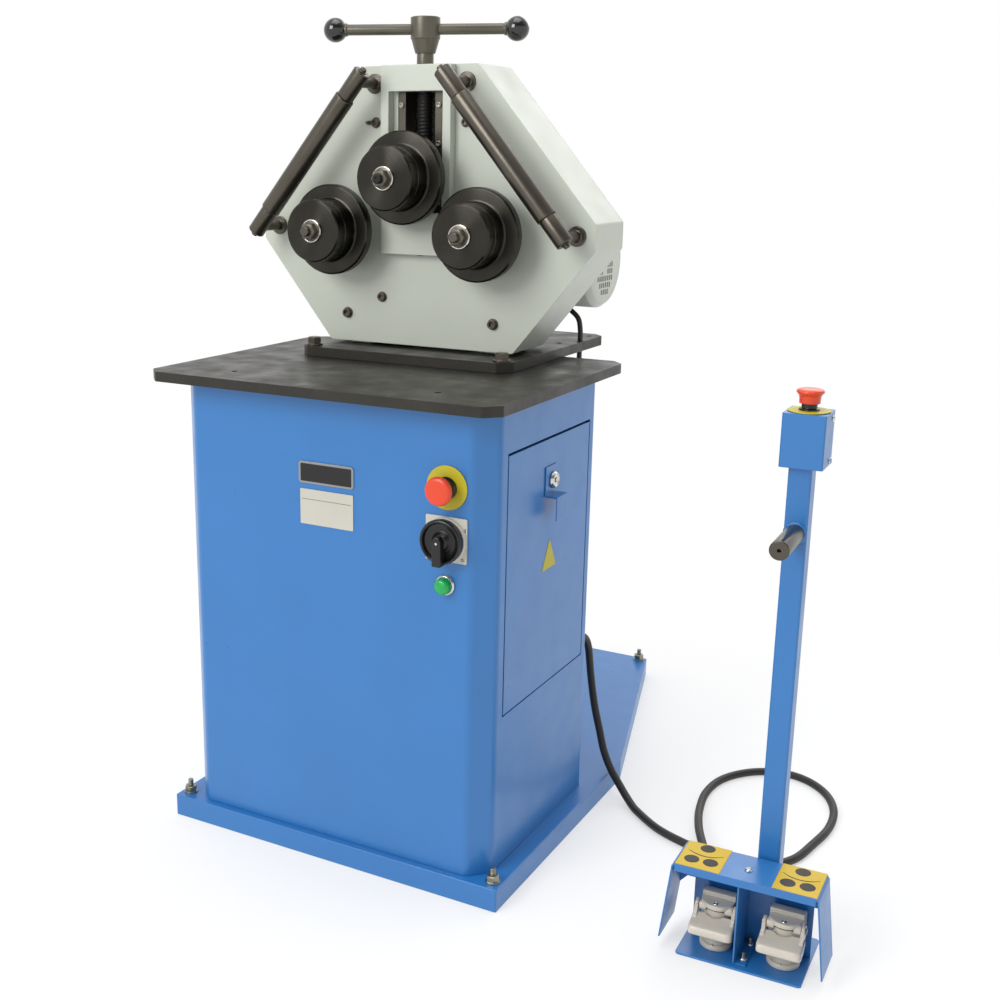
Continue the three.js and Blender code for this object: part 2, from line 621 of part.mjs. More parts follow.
// Worm gearbox behind the cover, over the motor's axis
const boxFront = CASING.rear + GAP + 3 + GAP;
put(machine, 'worm_gearbox', cut(
  join(
    prism(octagon(-62, 62, 770, 952, 22), 'y', 226, 336),
    rod('y', 46, boxFront, 230, [0, 0, LOWER_Z], 14),
    prism(octagon(-56, 56, 833, 945, 16), 'y', boxFront, boxFront + 9),
    rod('y', 34, 330, 344, [0, 0, LOWER_Z], 12),
    rod('x', 50, 55, MOTOR.flangeFrom - GAP, [0, MOTOR.y, MOTOR.z], 14),
    rod('x', 30, -72, -55, [0, MOTOR.y, MOTOR.z], 12),
  ),
  rod('y', boreRadius(PINION_SHAFT_R, 12), boxFront - 5, 216, [0, 0, LOWER_Z], 12),
), GREY);

// Motor: flange, ribbed frame and terminal box
const ribbedProfile = [[MOTOR.flangeFrom, 0], [MOTOR.flangeFrom, 70], [MOTOR.flangeTo, 70]];
ribbedProfile.push([MOTOR.flangeTo, MOTOR.frameR - 6], [MOTOR.flangeTo + 4, MOTOR.frameR]);
const shieldR = MOTOR.cowlR - MOTOR.cowlWall - GAP;
ribbedProfile.push([MOTOR.cowlFrom - 4, MOTOR.frameR], [MOTOR.cowlFrom - 4, shieldR], [MOTOR.cowlFrom + 6, shieldR]);
ribbedProfile.push([MOTOR.cowlFrom + 6, 0]);
function coolingFins() {
  const fins = [];
  const count = 14;
  for (let i = 0; i < count; i += 1) {
    const fin = block(MOTOR.flangeTo + 6, MOTOR.cowlFrom - 3, MOTOR.y - 1.4, MOTOR.y + 1.4,
      MOTOR.z + MOTOR.frameR - 6, MOTOR.z + MOTOR.frameR + 5);
    fins.push(turnedAbout(fin, X_AXIS, (i / count) * 360 + 9, 0, MOTOR.y, MOTOR.z));
  }
  return fins;
}
const terminalBox = prism(octagon(MOTOR.flangeTo + 6, MOTOR.cowlFrom - 6, MOTOR.y + 52, MOTOR.y + 96, 4), 'z',
  MOTOR.z - 34, MOTOR.z + 34);
put(machine, 'motor', join(
  turned(ribbedProfile, 'x', [0, MOTOR.y, MOTOR.z], 16),
  ...coolingFins(),
  terminalBox,
), GREY);

// Fan cowl with rows of slots in its end
function cowlSlots() {
  const slots = [];
  const rows = 5;
  const pitch = 13;
  const column = 13;
  for (let row = 0; row < rows; row += 1) {
    const z = MOTOR.z + (row - (rows - 1) / 2) * pitch;
    const reach = Math.sqrt(Math.max(0, 44 * 44 - (z - MOTOR.z) ** 2));
    const count = Math.floor(reach / column);
    for (let i = -count; i <= count; i += 1) {
      const y = MOTOR.y + i * column;
      if (Math.hypot(y - MOTOR.y, z - MOTOR.z) > column) {
        slots.push(block(MOTOR.end - 6, MOTOR.end + 4, y - 3.2, y + 3.2, z - 4.3, z + 4.3));
      }
    }
  }
  return slots;
}
const cowlProfile = [[MOTOR.cowlFrom, MOTOR.cowlR], [MOTOR.end - 9, MOTOR.cowlR], [MOTOR.end - 2, MOTOR.cowlR - 6],
  [MOTOR.end, MOTOR.cowlR - 13], [MOTOR.end, 0], [MOTOR.end - 2.5, 0], [MOTOR.end - 2.5, MOTOR.cowlR - 14],
  [MOTOR.end - 10, MOTOR.cowlR - MOTOR.cowlWall], [MOTOR.cowlFrom, MOTOR.cowlR - MOTOR.cowlWall], [MOTOR.cowlFrom, MOTOR.cowlR]];
put(machine, 'motor_cowl', cut(turned(cowlProfile, 'x', [0, MOTOR.y, MOTOR.z], 16), ...cowlSlots()), GREY);

// Motor cable: out of the terminal box, through the plate and down into the cabinet's back
function tube(points, radius, sides, steps) {
  const curve = new THREE.CatmullRomCurve3(points, false, 'centripetal');
  const shape = new THREE.Shape(circle(0, 0, radius, sides).map(([u, v]) => new THREE.Vector2(u, v)));
  const geometry = new THREE.ExtrudeGeometry(shape, { steps, extrudePath: curve, bevelEnabled: false });
  return solid(geometry);
}
const V = (x, y, z) => new THREE.Vector3(x, y, z);
const CABLE_R = 4;
const cableEnd = CABINET.rear - 12;
put(machine, 'motor_cable', join(
  tube([
    V(128, 352, MOTOR.z - 34 - GAP), V(128, 351, 790), V(132, 336, 768), V(144, 305, 758), V(156, 291, 755),
    V(167, CABLE_HOLE_Y, 744), V(CABLE_X, CABLE_HOLE_Y, 728), V(CABLE_X, CABLE_HOLE_Y, 700),
    V(CABLE_X, 287, 668), V(CABLE_X, 268, 640), V(CABLE_X, 232, 619), V(CABLE_X, 200, CABLE_Z),
    V(CABLE_X, cableEnd, CABLE_Z),
  ], CABLE_R, 8, 17),
  rod('y', 6.6, CABINET.rear - 6, CABINET.rear + 8, [CABLE_X, 0, CABLE_Z], 8),
  hexagon('y', 18, CABINET.rear + GAP, CABINET.rear + 6, [CABLE_X, 0, CABLE_Z]),
), RUBBER);

// Guide rails at the shoulders: two pins, a rail with thick ends, and a sleeve that turns on it

function alongRail(body) {
  const turn = new THREE.Matrix4().makeRotationY(THREE.MathUtils.degToRad(GUIDE.angle));
  const there = new THREE.Matrix4().makeTranslation(GUIDE.topX, GUIDE.y, GUIDE.topZ);
  return moved(body, there.multiply(turn));
}

function onSide(body, side) {
  return side > 0 ? body : body.mirror([1, 0, 0]);
}

function railPoint(along) {
  const angle = THREE.MathUtils.degToRad(GUIDE.angle);
  return [GUIDE.topX + along * Math.cos(angle), GUIDE.topZ - along * Math.sin(angle)];
}

function guideRail() {
  const g = GUIDE;
  const end = g.sleeve + g.after;
  const profile = [[-g.before, 0], [-g.before, g.endR], [-0.6, g.endR], [-0.6, g.shaftR],
    [g.sleeve + 0.6, g.shaftR], [g.sleeve + 0.6, g.endR], [end, g.endR], [end, 0]];
  const rail = join(
    turned(profile, 'x', [0, 0, 0], 12),
    hexagon('x', 10, -g.before - 5, -g.before + 1, [0, 0, 0]),
    hexagon('x', 10, end - 1, end + 5, [0, 0, 0]),
  );
  const [topX, topZ] = railPoint(-g.pinBefore);
  const [lowX, lowZ] = railPoint(g.sleeve + g.pinAfter);
  const padBack = CASING.front - GAP;
  const pinProfile = [[g.y, 0], [g.y, g.pinR], [padBack - g.padDepth, g.pinR], [padBack - g.padDepth, g.padR],
    [padBack, g.padR], [padBack, 0]];
  return join(alongRail(rail), turned(pinProfile, 'y', [topX, 0, topZ], 10), turned(pinProfile, 'y', [lowX, 0, lowZ], 10));
}

const sleeveBore = boreRadius(GUIDE.shaftR, 12);
const guideSleeve = alongRail(ring('x', GUIDE.sleeveR, sleeveBore, 0, GUIDE.sleeve, 1, [0, 0, 0], 12));
put(machine, 'guide_rail_left', onSide(guideRail(), -1), BLACK);
put(machine, 'guide_rail_right', onSide(guideRail(), 1), BLACK);
put(machine, 'guide_sleeve_left', onSide(guideSleeve, -1), BLACK);
put(machine, 'guide_sleeve_right', onSide(guideSleeve, 1), BLACK);

// Controls on the cabinet's front: everything stands on the plane just off the sheet
const seat = CABINET.front - GAP;

const stop = [stopX, 0, CONTROLS.stopZ];
put(machine, 'estop_base', cut(
  join(
    rod('y', 30, seat - 3, seat, stop, 20),
    chamferedRod('y', 15, seat - 11.5, seat - 2, 1, stop, 12),
    rod('y', 11, seat - 3, seat + 12, stop, 10),
    block(stop[0] - 14, stop[0] + 14, seat + 6, seat + 46, stop[2] - 20, stop[2] + 20),
  ),
  rod('y', 9.6, seat - 20, seat + 8, stop, 10),
), YELLOW);
put(machine, 'estop_button', turned([[seat - 25, 0], [seat - 24.6, 11], [seat - 22.5, 17.5], [seat - 20, 20],
  [seat - 17.2, 19.4], [seat - 17.2, 9], [seat - 1, 9], [seat - 1, 0]], 'y', stop, 14), RED);

const main = [switchX, 0, CONTROLS.switchZ];
const plateHalf = 30.3;
const SPINDLE_R = 5;
put(machine, 'switch_plate', cut(
  join(
    block(main[0] - plateHalf, main[0] + plateHalf, seat - 2.5, seat, main[2] - plateHalf, main[2] + plateHalf),
    rod('y', 12, seat - 1, seat + 10, main, 10),
    block(main[0] - 22, main[0] + 22, seat + 6, seat + 58, main[2] - 22, main[2] + 22),
  ),
  rod('y', boreRadius(SPINDLE_R, 8), seat - 10, seat + 20, main, 8),
), WHITE);
const knobFront = seat - 2.5 - GAP;
put(machine, 'switch_knob', join(
  turned([[knobFront - 3.5, 0], [knobFront - 3.5, 24], [knobFront - 6, 25], [knobFront - 6, 27.5],
    [knobFront - 5, 28.5], [knobFront, 28.5], [knobFront, 0]], 'y', main, 20),
  rod('y', 12.5, knobFront - 12, knobFront - 1, main, 12),
  prism([[main[0] - 4.5, main[2] + 7], [main[0] - 5.5, main[2] - 24], [main[0] + 5.5, main[2] - 24],
    [main[0] + 4.5, main[2] + 7]], 'y', knobFront - 21, knobFront - 2),
  rod('y', SPINDLE_R, knobFront - 2, seat + 12, main, 8),
), RUBBER);

const lamp = [lampX, 0, CONTROLS.lampZ];
put(machine, 'pilot_lamp', join(
  turned([[seat - 14, 0], [seat - 13.4, 5], [seat - 11.5, 9], [seat - 8, 11], [seat - 4.5, 11], [seat - 4.5, 13.5],
    [seat - 3.5, 14.5], [seat, 14.5], [seat, 0]], 'y', lamp, 12),
  rod('y', 11, seat - 1, seat + 30, lamp, 10),
), GREEN);

function platePrism(x, z, width, height, thick, corner) {
  return prism(octagon(x - width / 2, x + width / 2, z - height / 2, z + height / 2, corner), 'y', seat - thick, seat);
}
put(machine, 'badge_plate', platePrism(1.5, 576, 89, 31, 1.6, 1.2), WHITE);
const rivet = (x, z) => turned([[seat - 2.4, 0], [seat - 2.2, 1.2], [seat - 1, 2.2], [seat - 1, 0]], 'y', [x, 0, z], 8);
put(machine, 'data_plate', join(platePrism(2, 527.6, 86, 50, 1.2, 3),
  rivet(-36, 507), rivet(40, 507), rivet(-36, 548), rivet(40, 548)), BLACK_PLATE);

// Hose gland on the cabinet's back, with its lock nut inside
const glandProfile = (a) => [[a, 5], [a, 11], [a + 5, 11], [a + 5, 9.6], [a + 7, 9.6], [a + 7, 10.6],
  [a + 17, 10.2], [a + 20, 7.5], [a + 20, 5], [a, 5]];
put(machine, 'hose_gland_cabinet', cut(
  join(
    turned(glandProfile(CABINET.rear + GAP), 'y', [HOSE_X, 0, HOSE_Z], 10),
    ring('y', 9, 5, CABINET.rear - 8, CABINET.rear + 2, 0.5, [HOSE_X, 0, HOSE_Z], 10),
  ),
), RUBBER);

// Pedal console in its own frame

const standBody = join(
  prism(octagon(-STAND.half, STAND.half, STAND.front, STAND.rear, 3), 'z', 0, STAND.sheet),
  block(-STAND.panelHalf, STAND.panelHalf, HOOD.depth - 2, HOOD.depth, STAND.sheet - 1, HOOD.top - HOOD.sheet - GAP),
);
const CONSOLE_HOSE_X = -50;
const CONSOLE_HOSE_Z = 30;
put(consoleGroup, 'console_base', cut(standBody,
  rod('y', 9.4, 50, 80, [CONSOLE_HOSE_X, 0, CONSOLE_HOSE_Z], 10)), BLUE);

const hoodSection = [[-HOOD.flare, HOOD.wingBottom], [-HOOD.half - 2, HOOD.top - 4], [-HOOD.half + 1.5, HOOD.top],
  [HOOD.half - 1.5, HOOD.top], [HOOD.half + 2, HOOD.top - 4], [HOOD.flare, HOOD.wingBottom],
  [HOOD.flare - HOOD.sheet, HOOD.wingBottom], [HOOD.half, HOOD.top - 4.6], [HOOD.half - 2.3, HOOD.top - HOOD.sheet],
  [-HOOD.half + 2.3, HOOD.top - HOOD.sheet], [-HOOD.half, HOOD.top - 4.6],
  [-HOOD.flare + HOOD.sheet, HOOD.wingBottom]];
const screwTop = (x, y, z, r) => turned([[z - 1, 0], [z - 1, r], [z + 1, r], [z + 2.2, r * 0.6], [z + 2.2, 0]],
  'z', [x, y, 0], 10);
const wingX = (z) => HOOD.half + 2 + (HOOD.flare - HOOD.half - 2) * ((HOOD.top - 4 - z) / (HOOD.top - 4 - HOOD.wingBottom));
const lipFoot = HOOD.top - HOOD.rearLip;
const cornerFoot = lipFoot - HOOD.rearCorner;
const rearLip = [[HOOD.half, HOOD.top - 1], [wingX(HOOD.top - 6) - 1, HOOD.top - 6], [wingX(cornerFoot) - 1, cornerFoot],
  [wingX(cornerFoot) - HOOD.rearCorner, lipFoot]];
const rearLipOutline = [...rearLip, ...rearLip.map(([u, v]) => [-u, v]).reverse()];
put(consoleGroup, 'console_hood', join(
  prism(hoodSection, 'y', 0, HOOD.depth - 2 - GAP),
  prism(rearLipOutline, 'y', HOOD.depth - 4 - GAP, HOOD.depth - 2 - GAP),
  block(-HOOD.half + 2, HOOD.half - 2, 0, 2, HOOD.top - HOOD.lip, HOOD.top - 1),
  screwTop(-0.7, 28, HOOD.top, 5),
), BLUE);

const dividerX = -6.3;
put(consoleGroup, 'console_divider', join(
  block(dividerX - 1, dividerX + 1, 2.6, HOOD.depth - 4 - 2 * GAP, STAND.sheet + GAP, HOOD.top - HOOD.sheet - GAP),
  block(dividerX, 9, 4, HOOD.depth - 6, STAND.sheet + GAP, STAND.sheet + GAP + 2),
  screwTop(2.5, 18, STAND.sheet + GAP + 2, 5),
  screwTop(2.5, 55, STAND.sheet + GAP + 2, 5),
), BLUE);

put(consoleGroup, 'console_post', prism(
  octagon(POST.x - POST.half, POST.x + POST.half, POST.front, POST.rear, 2), 'z',
  STAND.sheet + GAP, POST.top, [octagon(POST.x - 12, POST.x + 12, POST.front + 2, POST.rear - 2, 1)]), BLUE);

const boxMidY = (HEADBOX.front + HEADBOX.rear) / 2;
put(consoleGroup, 'console_box', join(
  cut(
    prism(octagon(HEADBOX.x - HEADBOX.half, HEADBOX.x + HEADBOX.half, HEADBOX.front, HEADBOX.rear, 1.5), 'z',
      HEADBOX.bottom, HEADBOX.top),
    block(HEADBOX.x - HEADBOX.half + 2, HEADBOX.x + HEADBOX.half - 2, HEADBOX.front + 2, HEADBOX.rear - 2,
      HEADBOX.bottom + 2, HEADBOX.top - 2),
    rod('z', 10.4, HEADBOX.top - 5, HEADBOX.top + 5, [HEADBOX.x, boxMidY, 0], 10),
    rod('z', 8, HEADBOX.bottom - 5, HEADBOX.bottom + 5, [HEADBOX.x, boxMidY, 0], 8),
  ),
  turned([[HEADBOX.x + HEADBOX.half - 1, 0], [HEADBOX.x + HEADBOX.half - 1, 4], [HEADBOX.x + HEADBOX.half + 1.5, 4],
    [HEADBOX.x + HEADBOX.half + 2.5, 2.4], [HEADBOX.x + HEADBOX.half + 2.5, 0]], 'x', [0, 96, 646.5], 10),
), BLUE);

const topSeat = HEADBOX.top + GAP;
const STOP_COLLAR_R = 9.2;
const STOP_STEM_R = 6;
const headStop = [HEADBOX.x, boxMidY, 0];
put(consoleGroup, 'console_estop_base', cut(
  join(
    rod('z', 25, topSeat, topSeat + 1.6, headStop, 16),
    turned([[topSeat + 1, 0], [topSeat + 1, 12], [topSeat + 3, 12], [topSeat + 3.6, STOP_COLLAR_R],
      [topSeat + 12, STOP_COLLAR_R], [topSeat + 12, 0]], 'z', headStop, 12),
    rod('z', 10, topSeat - 10, topSeat + 2, headStop, 10),
    block(HEADBOX.x - 11, HEADBOX.x + 11, boxMidY - 15, boxMidY + 15, topSeat - 34, topSeat - 8),
  ),
  rod('z', boreRadius(STOP_STEM_R, 12), topSeat - 6, topSeat + 20, headStop, 12),
), YELLOW);
const skirtBore = boreRadius(STOP_COLLAR_R, 12);
put(consoleGroup, 'console_estop_button', turned([[topSeat + 1, 0], [topSeat + 1, STOP_STEM_R],
  [topSeat + 17.5, STOP_STEM_R], [topSeat + 17.5, skirtBore], [topSeat + 9.2, skirtBore], [topSeat + 9.2, 12.4],
  [topSeat + 17, 12.6], [topSeat + 20, 13.8], [topSeat + 22, 16], [topSeat + 24, 16.4], [topSeat + 26, 14.5],
  [topSeat + 27, 9], [topSeat + 27, 0]], 'z', headStop, 12), RED);

const gripZ = 559;
const gripFront = -12;
const GRIP_R = 12;
put(consoleGroup, 'console_handle', join(
  turned([[gripFront + 8, 0], [gripFront + 6, 2.2], [gripFront, 2.2], [gripFront, GRIP_R - 1], [gripFront + 1, GRIP_R],
    [POST.front - GAP, GRIP_R], [POST.front - GAP, 0]], 'y', [POST.x, 0, gripZ], 14),
), BLACK);

// Foot switches: a round foot and column with a half-round cap, and a treadle hung on both sides of it
const PEDAL = {
  columnY: 40, columnR: 17, footR: 21, capR: 21.4, capBottom: 61, capTop: 68, blockRear: 61, blockTop: 74,
  hingeY: 30, hingeZ: 60, pinR: 4, earR: 8.5, armThick: 4.5, padHalf: 25, padRear: 19, padBottom: 41, padTop: 45.2,
};
const armInner = PEDAL.capR + 2 * GAP;
function pedalBody(x) {
  const p = PEDAL;
  const base = STAND.sheet + GAP;
  const rearBlock = prism([[p.columnY, base + 6], [p.blockRear, base + 6], [p.blockRear, p.blockTop - 6],
    [p.blockRear - 6, p.blockTop], [p.columnY + 2, p.blockTop], [p.columnY + 2, p.capTop], [p.columnY, p.capTop]],
  'x', x - p.capR, x + p.capR);
  return cut(
    join(
      turned([[base, 0], [base, p.footR], [base + 5, p.footR], [base + 7, p.footR - 2], [base + 7, 0]], 'z',
        [x, p.columnY, 0], 16),
      rod('z', p.columnR, base + 6, p.capBottom + 1, [x, p.columnY, 0], 16),
      turned([[p.capBottom, 0], [p.capBottom, p.capR], [p.capTop - 1, p.capR], [p.capTop, p.capR - 1], [p.capTop, 0]],
        'z', [x, p.columnY, 0], 16),
      rearBlock,
      rod('x', p.earR - 0.5, x - p.capR, x + p.capR, [0, p.hingeY, p.hingeZ], 12),
      screwTop(x, p.columnY - 15, p.capTop, 3.2),
    ),
    rod('x', boreRadius(p.pinR, 8), x - 30, x + 30, [0, p.hingeY, p.hingeZ], 8),
  );
}
function treadle(x) {
  const p = PEDAL;
  const pad = prism([[0, p.padBottom - 3], [1.5, p.padBottom - 5.5], [4, p.padBottom - 5.5], [7.5, p.padBottom],
    [p.padRear, p.padBottom], [p.padRear, p.padTop], [5, p.padTop], [1.5, p.padTop - 1.5], [0, p.padBottom + 0.5]],
  'x', x - p.padHalf, x + p.padHalf);
  const arm = (side) => {
    const a = side > 0 ? x + armInner : x - armInner - p.armThick;
    const bar = prism([[p.padRear - 9, p.padBottom], [p.padRear, p.padBottom], [p.hingeY + 4, p.hingeZ - 7],
      [p.hingeY - 7, p.hingeZ + 2], [p.padRear - 4, p.padTop + 4], [p.padRear - 9, p.padTop]], 'x', a, a + p.armThick);
    return join(bar, rod('x', p.earR, a, a + p.armThick, [0, p.hingeY, p.hingeZ], 12));
  };
  const reach = armInner + p.armThick;
  return join(pad, arm(-1), arm(1), rod('x', p.pinR, x - reach - 1.5, x + reach + 1.5, [0, p.hingeY, p.hingeZ], 8));
}
for (const [side, x] of [['left', -38.5], ['right', 48.5]]) {
  put(consoleGroup, `pedal_body_${side}`, pedalBody(x), CAST);
  put(consoleGroup, `pedal_treadle_${side}`, treadle(x), CAST);
}

put(consoleGroup, 'hose_gland_console', join(
  turned(glandProfile(HOOD.depth + GAP), 'y', [CONSOLE_HOSE_X, 0, CONSOLE_HOSE_Z], 10),
  ring('y', 9, 5, HOOD.depth - 6, HOOD.depth + 2, 0.5, [CONSOLE_HOSE_X, 0, CONSOLE_HOSE_Z], 10),
), RUBBER);

// Ribbed hose between the two glands, lying on the floor in one loose loop
const HOSE = { crest: 6.3, valley: 5.4, bore: 3, ribs: 94, sides: 8, boreEvery: 3, ends: 18 };
const consoleToMachine = (x, y, z) => V(
  CONSOLE_X + x * Math.cos(turnRad) - y * Math.sin(turnRad),
  CONSOLE_Y + x * Math.sin(turnRad) + y * Math.cos(turnRad), z);
const hoseStartY = CABINET.rear + GAP + 20 + GAP;
const hoseEndY = HOOD.depth + GAP + 20 + GAP;
const FLOOR = HOSE.crest + 0.1;
const hosePath = [
  V(HOSE_X, hoseStartY, HOSE_Z), V(HOSE_X, hoseStartY + 7, HOSE_Z), V(HOSE_X, hoseStartY + 14, HOSE_Z),
  V(222, 219.5, 258), V(222, 236.8, 246.8), V(222.2, 248.4, 229), V(223.4, 252.6, 207), V(227, 251.5, 182),
  V(239.6, 242, 134.8),
  V(252, 236, 98), V(264.2, 228, 67.4), V(280, 220, 43), V(297, 212, 26), V(318, 197, 12), V(340.6, 175.8, FLOOR), V(389.3, 137, FLOOR), V(433.6, 117, FLOOR), V(478, 105, FLOOR),
  V(530, 104, FLOOR), V(568, 118, FLOOR), V(593, 150, FLOOR), V(607, 208, FLOOR), V(616, 271, FLOOR),
  V(609, 333, FLOOR), V(585, 382, FLOOR), V(550, 412, FLOOR), V(514, 421, FLOOR), V(476, 409, FLOOR),
  V(446, 382, FLOOR), V(425, 343, FLOOR), V(418, 291, FLOOR), V(427, 228, FLOOR + 2), V(447, 160, FLOOR + 9),
  V(469, 107, FLOOR + 14), V(500, 44, FLOOR + 18),
  consoleToMachine(CONSOLE_HOSE_X - 8.1, hoseEndY + 50, CONSOLE_HOSE_Z - 2),
  consoleToMachine(CONSOLE_HOSE_X - 3, hoseEndY + 36, CONSOLE_HOSE_Z - 0.6),
  consoleToMachine(CONSOLE_HOSE_X - 0.6, hoseEndY + 24, CONSOLE_HOSE_Z),
  consoleToMachine(CONSOLE_HOSE_X, hoseEndY + 14, CONSOLE_HOSE_Z),
  consoleToMachine(CONSOLE_HOSE_X, hoseEndY + 7, CONSOLE_HOSE_Z),
  consoleToMachine(CONSOLE_HOSE_X, hoseEndY, CONSOLE_HOSE_Z),
];

function ribbedHose(path) {
  const curve = new THREE.CatmullRomCurve3(path, false, 'centripetal');
  curve.arcLengthDivisions = 4000;
  const rings = HOSE.ribs * 2;
  const points = curve.getSpacedPoints(rings);
  for (const point of points) point.z = Math.max(point.z, FLOOR);
  const frames = curve.computeFrenetFrames(rings, false);
  const positions = [];
  const index = [];
  const ringAt = (i, radius) => {
    const first = positions.length / 3;
    for (let k = 0; k < HOSE.sides; k += 1) {
      const angle = ((k + 0.5) / HOSE.sides) * 2 * Math.PI;
      const p = points[i].clone()
        .addScaledVector(frames.normals[i], radius * Math.cos(angle))
        .addScaledVector(frames.binormals[i], radius * Math.sin(angle));
      positions.push(p.x, p.y, p.z);
    }
    return first;
  };
  const skin = (a, b, outward) => {
    for (let k = 0; k < HOSE.sides; k += 1) {
      const n = (k + 1) % HOSE.sides;
      const quad = outward ? [a + k, a + n, b + n, b + k] : [a + k, b + k, b + n, a + n];
      index.push(quad[0], quad[1], quad[2], quad[0], quad[2], quad[3]);
    }
  };
  const outer = [];
  for (let i = 0; i <= rings; i += 1) {
    const plain = i < 2 || i > rings - 2;
    outer.push(ringAt(i, plain || i % 2 === 0 ? HOSE.valley : HOSE.crest));
  }
  for (let i = 0; i < rings; i += 1) skin(outer[i], outer[i + 1], true);
  // The bore follows every rib where the hose bends hard near its ends, and every third one between
  const inner = [];
  for (let rib = 0; rib <= HOSE.ribs; rib += 1) {
    const nearEnd = rib < HOSE.ends || rib > HOSE.ribs - HOSE.ends;
    if (nearEnd || rib % HOSE.boreEvery === 0) inner.push(ringAt(rib * 2, HOSE.bore));
  }
  for (let i = 0; i + 1 < inner.length; i += 1) skin(inner[i], inner[i + 1], false);
  skin(outer[0], inner[0], false);
  skin(outer[rings], inner[inner.length - 1], true);
  const geometry = new THREE.BufferGeometry();
  geometry.setAttribute('position', new THREE.BufferAttribute(new Float32Array(positions), 3));
  geometry.setIndex(index);
  return { geometry, points, length: curve.getLength() };
}

// The least gap between two stretches of the hose that aren't neighbours, measured on its points
function leastGap(points, reach) {
  let least = Infinity;
  for (let i = 0; i < points.length; i += 1) {
    for (let j = i + reach; j < points.length; j += 1) {
      least = Math.min(least, points[i].distanceTo(points[j]));
    }
  }
  return least - 2 * HOSE.crest;
}

const hose = ribbedHose(hosePath);
console.log(`hose length ${hose.length.toFixed(1)} mm, least gap to itself ${leastGap(hose.points, 12).toFixed(2)} mm`);
const hoseMesh = new THREE.Mesh(hose.geometry, RUBBER);
hoseMesh.name = 'pedal_hose';
machine.add(hoseMesh);

export default group;
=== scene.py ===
"""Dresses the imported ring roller: camera, soft studio light, finishes and finer forms.

Sizes are in millimetres in two sub-frames, the machine's and the console's. Every mesh is
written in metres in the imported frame, with its object at the origin.
"""

from __future__ import annotations

import json
import logging
import math
from dataclasses import dataclass
from enum import Enum
from typing import Iterable, Sequence

import bmesh
import bpy
import numpy as np
from mathutils import Matrix, Vector
from mathutils.geometry import tessellate_polygon

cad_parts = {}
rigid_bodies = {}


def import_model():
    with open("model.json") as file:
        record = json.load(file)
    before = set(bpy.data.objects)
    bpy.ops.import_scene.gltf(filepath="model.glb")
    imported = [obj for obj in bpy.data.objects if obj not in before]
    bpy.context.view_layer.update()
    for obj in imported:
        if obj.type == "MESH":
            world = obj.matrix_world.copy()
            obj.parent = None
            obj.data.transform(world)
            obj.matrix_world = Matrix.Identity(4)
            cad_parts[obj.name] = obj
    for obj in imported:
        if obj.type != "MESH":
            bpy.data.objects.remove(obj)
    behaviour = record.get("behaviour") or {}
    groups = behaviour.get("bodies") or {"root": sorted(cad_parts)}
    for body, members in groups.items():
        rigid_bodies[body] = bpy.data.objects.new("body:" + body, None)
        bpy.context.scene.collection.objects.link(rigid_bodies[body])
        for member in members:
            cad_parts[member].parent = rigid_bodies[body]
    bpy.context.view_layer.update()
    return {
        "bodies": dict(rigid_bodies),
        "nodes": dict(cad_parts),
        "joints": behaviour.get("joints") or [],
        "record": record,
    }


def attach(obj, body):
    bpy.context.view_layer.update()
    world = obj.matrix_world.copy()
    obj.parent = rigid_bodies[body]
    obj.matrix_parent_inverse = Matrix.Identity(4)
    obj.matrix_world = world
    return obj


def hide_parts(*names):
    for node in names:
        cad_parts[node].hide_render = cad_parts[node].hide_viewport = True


LOG = logging.getLogger("ring_roller")

Point2 = tuple[float, float]
Point3 = tuple[float, float, float]
Colour = tuple[float, float, float, float]
Face = tuple[int, ...]
Turned = tuple[Point3, str]
Socket = bpy.types.NodeSocket

MM = 0.001
TINY = 1e-6
FULL_TURN = 2 * math.pi
BODY = "machine"
WHITE = (1.0, 1.0, 1.0, 1.0)

# Clearance between pieces, and how far a flat mark reaches into the sheet under it
GAP = 0.3
SINK = 0.1

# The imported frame's origin and the console's place, in the machine's millimetres
ORIGIN_X = 212.8213
ORIGIN_Y = 255.5
CONSOLE_X = 597.7
CONSOLE_Y = -147.1
CONSOLE_TURN = math.radians(1.9)

# Places that several sub-assemblies share
CABINET_HALF = 251.0
CABINET_REAR = 164.0
CASING_FRONT = 79.0
CASING_TOP = 1119.6
SCREW_Y = 92.5
TOP_ROLL_Z = 964.5
LOW_ROLL_X = 120.0
LOW_ROLL_Z = 889.4
FRONT_SEAT = -175.8
STOP_PLACE = (188.0, 582.4)
SWITCH_PLACE = (188.4, 513.7)
LAMP_PLACE = (187.0, 450.6)
CABLE_PLACE = (170.0, 0.0, 610.0)
HOSE_START = (222.0, 184.6, 262.0)


@dataclass(frozen=True)
class Place:
    """A sub-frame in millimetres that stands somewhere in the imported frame."""

    x: float
    y: float
    turn: float = 0.0

    def metres(self, points: np.ndarray) -> np.ndarray:
        """Gives packed-frame metres by a turn about Z and a shift.

        Args:
            points: Rows of x, y, z in this sub-frame.

        Returns:
            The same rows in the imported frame.
        """
        across = math.cos(self.turn)
        along = math.sin(self.turn)
        x = self.x + points[:, 0] * across - points[:, 1] * along
        y = self.y + points[:, 0] * along + points[:, 1] * across
        return np.column_stack([x, y, points[:, 2]]) * MM


MACHINE = Place(-ORIGIN_X, -ORIGIN_Y)
CONSOLE = Place(CONSOLE_X - ORIGIN_X, CONSOLE_Y - ORIGIN_Y, CONSOLE_TURN)


